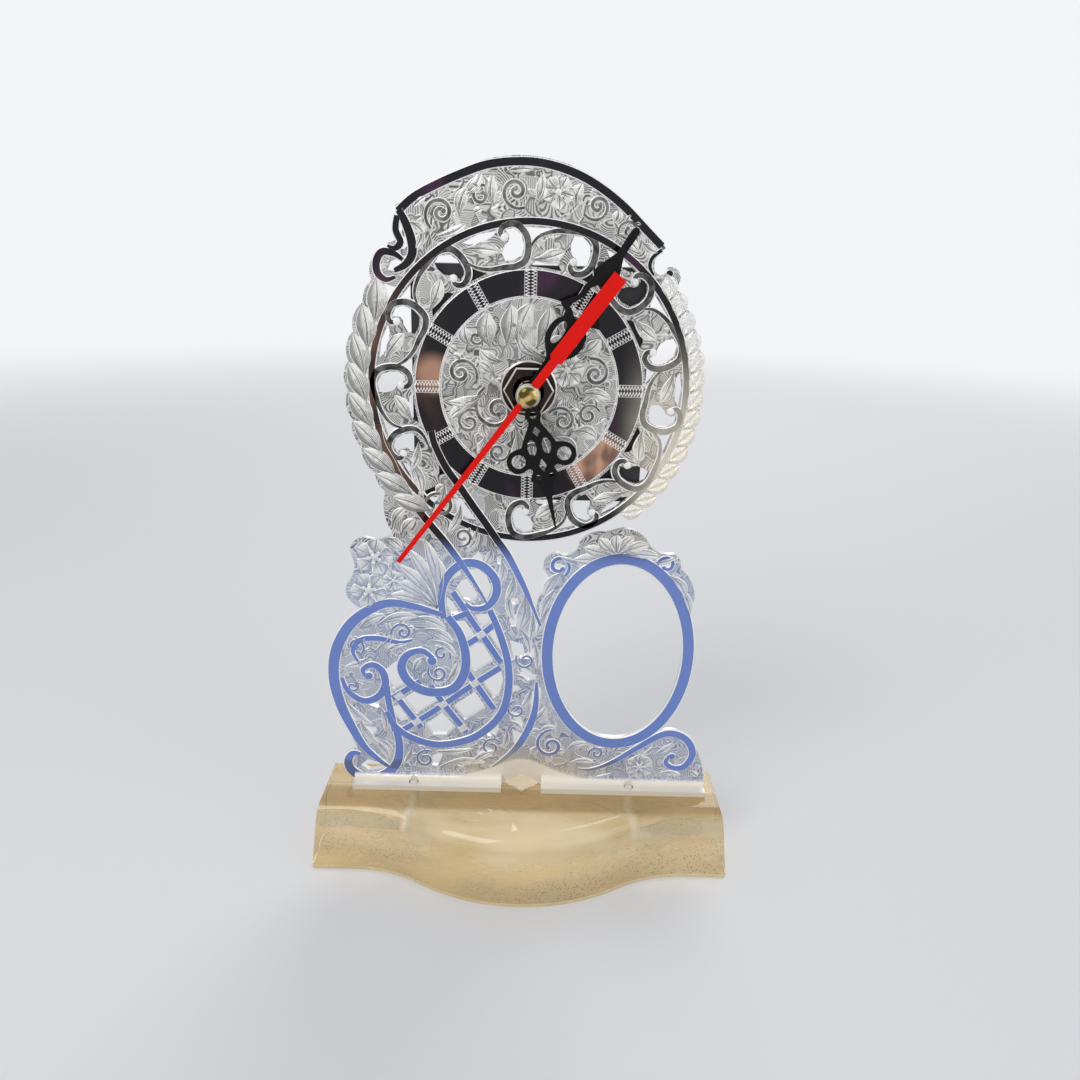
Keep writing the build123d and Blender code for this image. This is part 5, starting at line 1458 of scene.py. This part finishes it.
def front_of_base(across):
    """How far forward the base reaches at a place to the right of its middle."""
    reach = abs(across)
    meet = hollow_centre * bulge_radius / (bulge_radius + hollow_radius)
    if reach >= hollow_centre:
        return block_side_front
    if reach > meet:
        return block_side_front - hollow_radius + sqrt(hollow_radius ** 2 - (hollow_centre - reach) ** 2)
    return bulge_front + bulge_radius - sqrt(bulge_radius ** 2 - reach ** 2)


def base_plan():
    """Corners of the plan, each with its outward directions to the front and to a side or the back."""
    reach = block_half - corner_width
    steps = 64
    plan = [(-block_half, block_side_front, (0, -1), (-1, 0))]
    for step in range(steps + 1):
        across = -reach + 2 * reach * step / steps
        slope = (front_of_base(across + 0.05) - front_of_base(across - 0.05)) / 0.1
        length = hypot(1, slope)
        plan.append((across, front_of_base(across), (slope / length, -1 / length), (0, 0)))
    plan += [(block_half, block_side_front, (0, -1), (1, 0)), (block_half, side_joint, (0, 0), (1, 0)),
             (block_half, block_back, (0, 0), (1, 1)), (-block_half, block_back, (0, 0), (-1, 1)),
             (-block_half, side_joint, (0, 0), (-1, 0))]
    return plan


def plan_ring(front_inset, side_inset, level):
    """The plan at a height, drawn in from the front and from the sides and the back."""
    return [(x - front[0] * front_inset - side[0] * side_inset,
             y - front[1] * front_inset - side[1] * side_inset, level) for x, y, front, side in base_plan()]


def stacked(name, rings):
    """A closed piece whose rings of points lie over each other."""
    count = len(rings[0])
    faces = [tuple(reversed(range(count)))]
    for ring in range(len(rings) - 1):
        for index in range(count):
            after = (index + 1) % count
            faces.append((ring * count + index, ring * count + after, (ring + 1) * count + after,
                          (ring + 1) * count + index))
    faces.append(tuple((len(rings) - 1) * count + index for index in range(count)))
    return mesh_piece(name, [point for ring in rings for point in ring], faces)


def make_block():
    """The clear block, whose sides lean in a little and whose upper front edge is round."""
    bottom = pad_top - pad_lap
    rings = [plan_ring(foot_chamfer, foot_chamfer, bottom), plan_ring(0.0, 0.0, bottom + foot_chamfer)]
    steps = 8
    for step in range(steps + 1):
        turn = pi / 2 * step / steps
        level = base_top - front_rounding * (1 - sin(turn))
        draft = (level - pad_top) * draft_share
        side = draft + small_rounding * (1 - cos(turn))
        rings.append(plan_ring(draft + front_rounding * (1 - cos(turn)), side, level))
    full = (base_top - pad_top) * draft_share
    rings.append(plan_ring(full + front_rounding + top_inset, full + small_rounding + top_inset, base_top))
    piece = smooth_shading(stacked("clear_block", rings), 30)
    piece.visible_shadow = False
    return place_on(piece, "root", (acrylic,), ("acrylic_base",))


def make_pad():
    """The tan sheet under the block."""
    levels = ((0.0, 0.25), (0.15, 0.1), (0.8, 0.1), (pad_top, 0.2))
    rings = [plan_ring(inset, inset, level) for level, inset in levels]
    piece = stacked("foam_pad", rings)
    return place_on(piece, "root", (pad_foam,), ("base_pad",))


screw_head_radius = 2.5
screw_low, screw_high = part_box("base_screws")
screw_across = screw_high[0] / MM - screw_head_radius
screw_depth = (screw_low[1] + screw_high[1]) / 2 / MM
screw_length = 13.5
screw_radius = 1.5
screw_root = 1.3
screw_neck = 1.0
screw_pitch = 0.45


def make_screws():
    """Two pale screws that reach down from the sheet's flanges into the block."""
    top = base_top + sheet_thickness - 0.1
    low = top - screw_length
    profile = [(0, low), (screw_neck, low), (screw_root, low + 0.35)]
    level = low + 0.6
    while level < base_top - 0.5:
        profile += [(screw_radius, level), (screw_root, level + 0.22)]
        level += screw_pitch
    profile += [(screw_neck, base_top - 0.05), (screw_neck, top - 0.1), (0.8, top - 0.02), (0, top - 0.02)]
    parts = [turned("screw_part", profile, (side * screw_across, screw_depth, 0), steps=24)
             for side in (-1, 1)]
    pick(parts[0])
    parts[1].select_set(True)
    bpy.ops.object.join()
    piece = parts[0]
    piece.name = "threaded_screws"
    return place_on(piece, "root", (pale_zinc,), ("base_screws",))


make_block()
make_pad()
make_screws()


# Movement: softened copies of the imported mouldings, with the details a real one carries
def soften(name, node, body, width):
    """A black moulding whose sharp edges are rounded off."""
    piece = copy_of(name, node)
    bevel = piece.modifiers.new("edge", "BEVEL")
    bevel.width = width * MM
    bevel.segments = 2
    bevel.angle_limit = radians(30)
    pick(piece)
    bpy.ops.object.modifier_apply(modifier=bevel.name)
    return place_on(piece, body, (black_plastic,), (node,))


soften("moulded_case", "movement_case", "root", 0.2)
soften("moulded_cover", "movement_cover", "root", 0.25)
soften("ribbed_knob", "set_knob", "setting_motion", 0.12)

cover_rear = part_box("movement_cover")[1][1] / MM
knob_low, knob_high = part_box("set_knob")
knob_place = ((knob_low[0] + knob_high[0]) / 2 / MM, (knob_low[2] + knob_high[2]) / 2 / MM)
mark_height = 0.25


def raised(name, *outlines):
    """A raised mark on the back of the movement."""
    piece = flat_shape(name, outlines, mark_height, cover_rear + mark_height)
    return place_on(piece, "root", (black_plastic,))


def bar(left, right, low, high):
    """Corners of an upright rectangle."""
    return [(left, low), (right, low), (right, high), (left, high)]


def add_case_marks():
    """The ring and arrows round the setting knob, the battery's plain signs and the latches of the cover."""
    across, up = knob_place[0], knob_place[1] - dial_height
    outer, inner = 8.2, 7.6
    raised("knob_ring", whole((across, up), outer, 64), whole((across, up), inner, 64))
    for number, side in enumerate((1, -1)):
        tip = across + side * (inner - 1.2)
        raised("turn_arrow_%d" % number,
               [(tip + 0.9, up - 0.7 * side), (tip, up + 1.1 * side), (tip - 0.9, up - 0.7 * side)])
    for number, side in enumerate((-1, 1)):
        middle = side * 22.5
        raised("cover_latch_%d" % number, bar(middle - 2.2, middle + 2.2, 20.0, 21.6))
    long, thin = 1.5, 0.35
    plus = [(-thin, -long), (thin, -long), (thin, -thin), (long, -thin), (long, thin), (thin, thin),
            (thin, long), (-thin, long), (-thin, thin), (-long, thin), (-long, -thin), (-thin, -thin)]
    minus = bar(-long, long, -thin, thin)
    for name, shape, across in (("plus_sign", plus, 20.0), ("minus_sign", minus, -20.0)):
        raised(name, [(across + x, y - 9.2) for x, y in shape])
    for number in range(5):
        level = 4.0 - number * 2.2
        raised("back_rib_%d" % number, bar(4.0, 22.0, level, level + 0.8))


add_case_marks()
cell_low, cell_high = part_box("battery")


def make_cell():
    """The battery: bare metal ends, a jacket between them and a raised plus pole."""
    radius = (cell_high[2] - cell_low[2]) / 2 / MM - 0.02
    half = (cell_high[0] - cell_low[0]) / 2 / MM
    middle = [(low + high) / 2 / MM for low, high in zip(cell_low, cell_high)]
    profile = [(0, -half), (radius - 1.6, -half), (radius - 1.2, -half + 0.25),
               (radius - 0.5, -half + 0.25), (radius, -half + 0.6), (radius, half - 2.2),
               (radius - 0.6, half - 1.6), (radius - 2.6, half - 1.5), (2.8, half - 1.2),
               (2.7, half - 0.15), (2.5, half), (0, half)]
    piece = turned("plain_cell", profile, middle, (90, "Y"), 48)
    for polygon in piece.data.polygons:
        place = polygon.center / MM
        reach = hypot(place.y - middle[1], place.z - middle[2])
        polygon.material_index = 0 if reach > radius - 0.45 and abs(place.x) < half - 1.0 else 1
    return place_on(piece, "battery_cell", (jacket, zinc), ("battery",))


make_cell()

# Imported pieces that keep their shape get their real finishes
node_finishes = {
    "threaded_bush": dark_metal, "rubber_washer": rubber, "hour_wheel": white_plastic, "minute_pipe": brass,
    "minute_wheel": white_plastic, "center_wheel": white_plastic, "third_wheel": white_plastic,
    "second_wheel": white_plastic, "fifth_wheel": white_plastic, "rotor": magnet,
    "movement_bridge": white_plastic, "stator": soft_iron, "coil": winding, "circuit_board": green_board,
    "quartz_crystal": zinc, "contact_positive": zinc, "contact_negative": zinc,
}
for node, material in node_finishes.items():
    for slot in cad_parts[node].material_slots:
        slot.material = material


# Stage, light and camera, in metres
pale_air = (0.90, 0.91, 0.93, 1)
floor_tone = (0.86, 0.87, 0.89, 1)
floor_radius = 6.0
air_light = 0.45
clock_middle = (0, 0, 0.09)


def make_stage():
    """A pale floor that takes the clock's shadow and melts into the air around it."""
    clear_selection()
    bpy.ops.mesh.primitive_circle_add(vertices=96, radius=floor_radius, fill_type="NGON", location=(0, 0, 0))
    floor = bpy.context.active_object
    floor.name = "floor"
    material = bpy.data.materials.new("pale_floor")
    material.use_nodes = True
    tree = material.node_tree
    shader = tree.nodes["Principled BSDF"]
    shader.inputs["Base Color"].default_value = floor_tone
    shader.inputs["Roughness"].default_value = 0.7
    place = Shade(tree, tree.nodes.new("ShaderNodeTexCoord").outputs["Object"])
    far = place.distance((0.0, 0.0, 0.0)).step(0.30, 1.5)
    air = place.node("ShaderNodeEmission", {"Color": pale_air})
    mixed = place.node("ShaderNodeMixShader", {0: far, 1: Shade(tree, shader.outputs[0]), 2: air})
    tree.links.new(mixed.socket, tree.nodes["Material Output"].inputs["Surface"])
    floor.data.materials.append(material)


def make_light():
    """A pale world, which lights the clock less than it shows, and three soft lamps."""
    world = bpy.data.worlds.new("pale_air")
    bpy.context.scene.world = world
    world.use_nodes = True
    tree = world.node_tree
    background = tree.nodes["Background"]
    background.inputs["Color"].default_value = pale_air
    rays = tree.nodes.new("ShaderNodeLightPath").outputs
    seen = Shade(tree, rays["Is Camera Ray"]).math("MAXIMUM", Shade(tree, rays["Is Glossy Ray"]))
    seen = seen.math("MAXIMUM", Shade(tree, rays["Is Transmission Ray"]))
    strength = air_light + seen * (1 - air_light)
    tree.links.new(strength.socket, background.inputs["Strength"])
    lamps = (("key", (-0.45, -0.55, 0.75), 0.5, 3.0), ("fill", (0.7, -0.5, 0.45), 0.6, 1.2),
             ("rim", (0.15, 0.7, 0.7), 0.5, 2.0))
    for name, place, size, power in lamps:
        lamp = bpy.data.lights.new(name, "AREA")
        lamp.size = size
        lamp.energy = power
        thing = bpy.data.objects.new(name, lamp)
        thing.location = place
        aim = Vector(clock_middle) - Vector(place)
        thing.rotation_euler = aim.to_track_quat("-Z", "Y").to_euler()
        bpy.context.scene.collection.objects.link(thing)


picture_side = 1080
focal_pixels = 841.7
shift_pixels = (3, -2)
sensor = 36.0
camera_place = (0.0028, -0.2013, 0.1591)
camera_tilt = 71.47
camera_roll = 1.35


def make_camera():
    """The camera at the place, tilt and roll that the photograph was taken from."""
    lens = bpy.data.cameras.new("camera")
    lens.sensor_width = sensor
    lens.lens = focal_pixels / picture_side * sensor
    lens.clip_start = 0.005
    lens.shift_x = shift_pixels[0] / picture_side
    lens.shift_y = shift_pixels[1] / picture_side
    camera = bpy.data.objects.new("camera", lens)
    tilt = Matrix.Rotation(radians(camera_tilt), 4, "X")
    roll = Matrix.Rotation(radians(camera_roll), 4, "Z")
    camera.matrix_world = Matrix.Translation(camera_place) @ tilt @ roll
    bpy.context.scene.collection.objects.link(camera)
    bpy.context.scene.camera = camera


make_stage()
make_light()
make_camera()
bpy.context.scene.view_settings.view_transform = "Standard"

clear_selection()
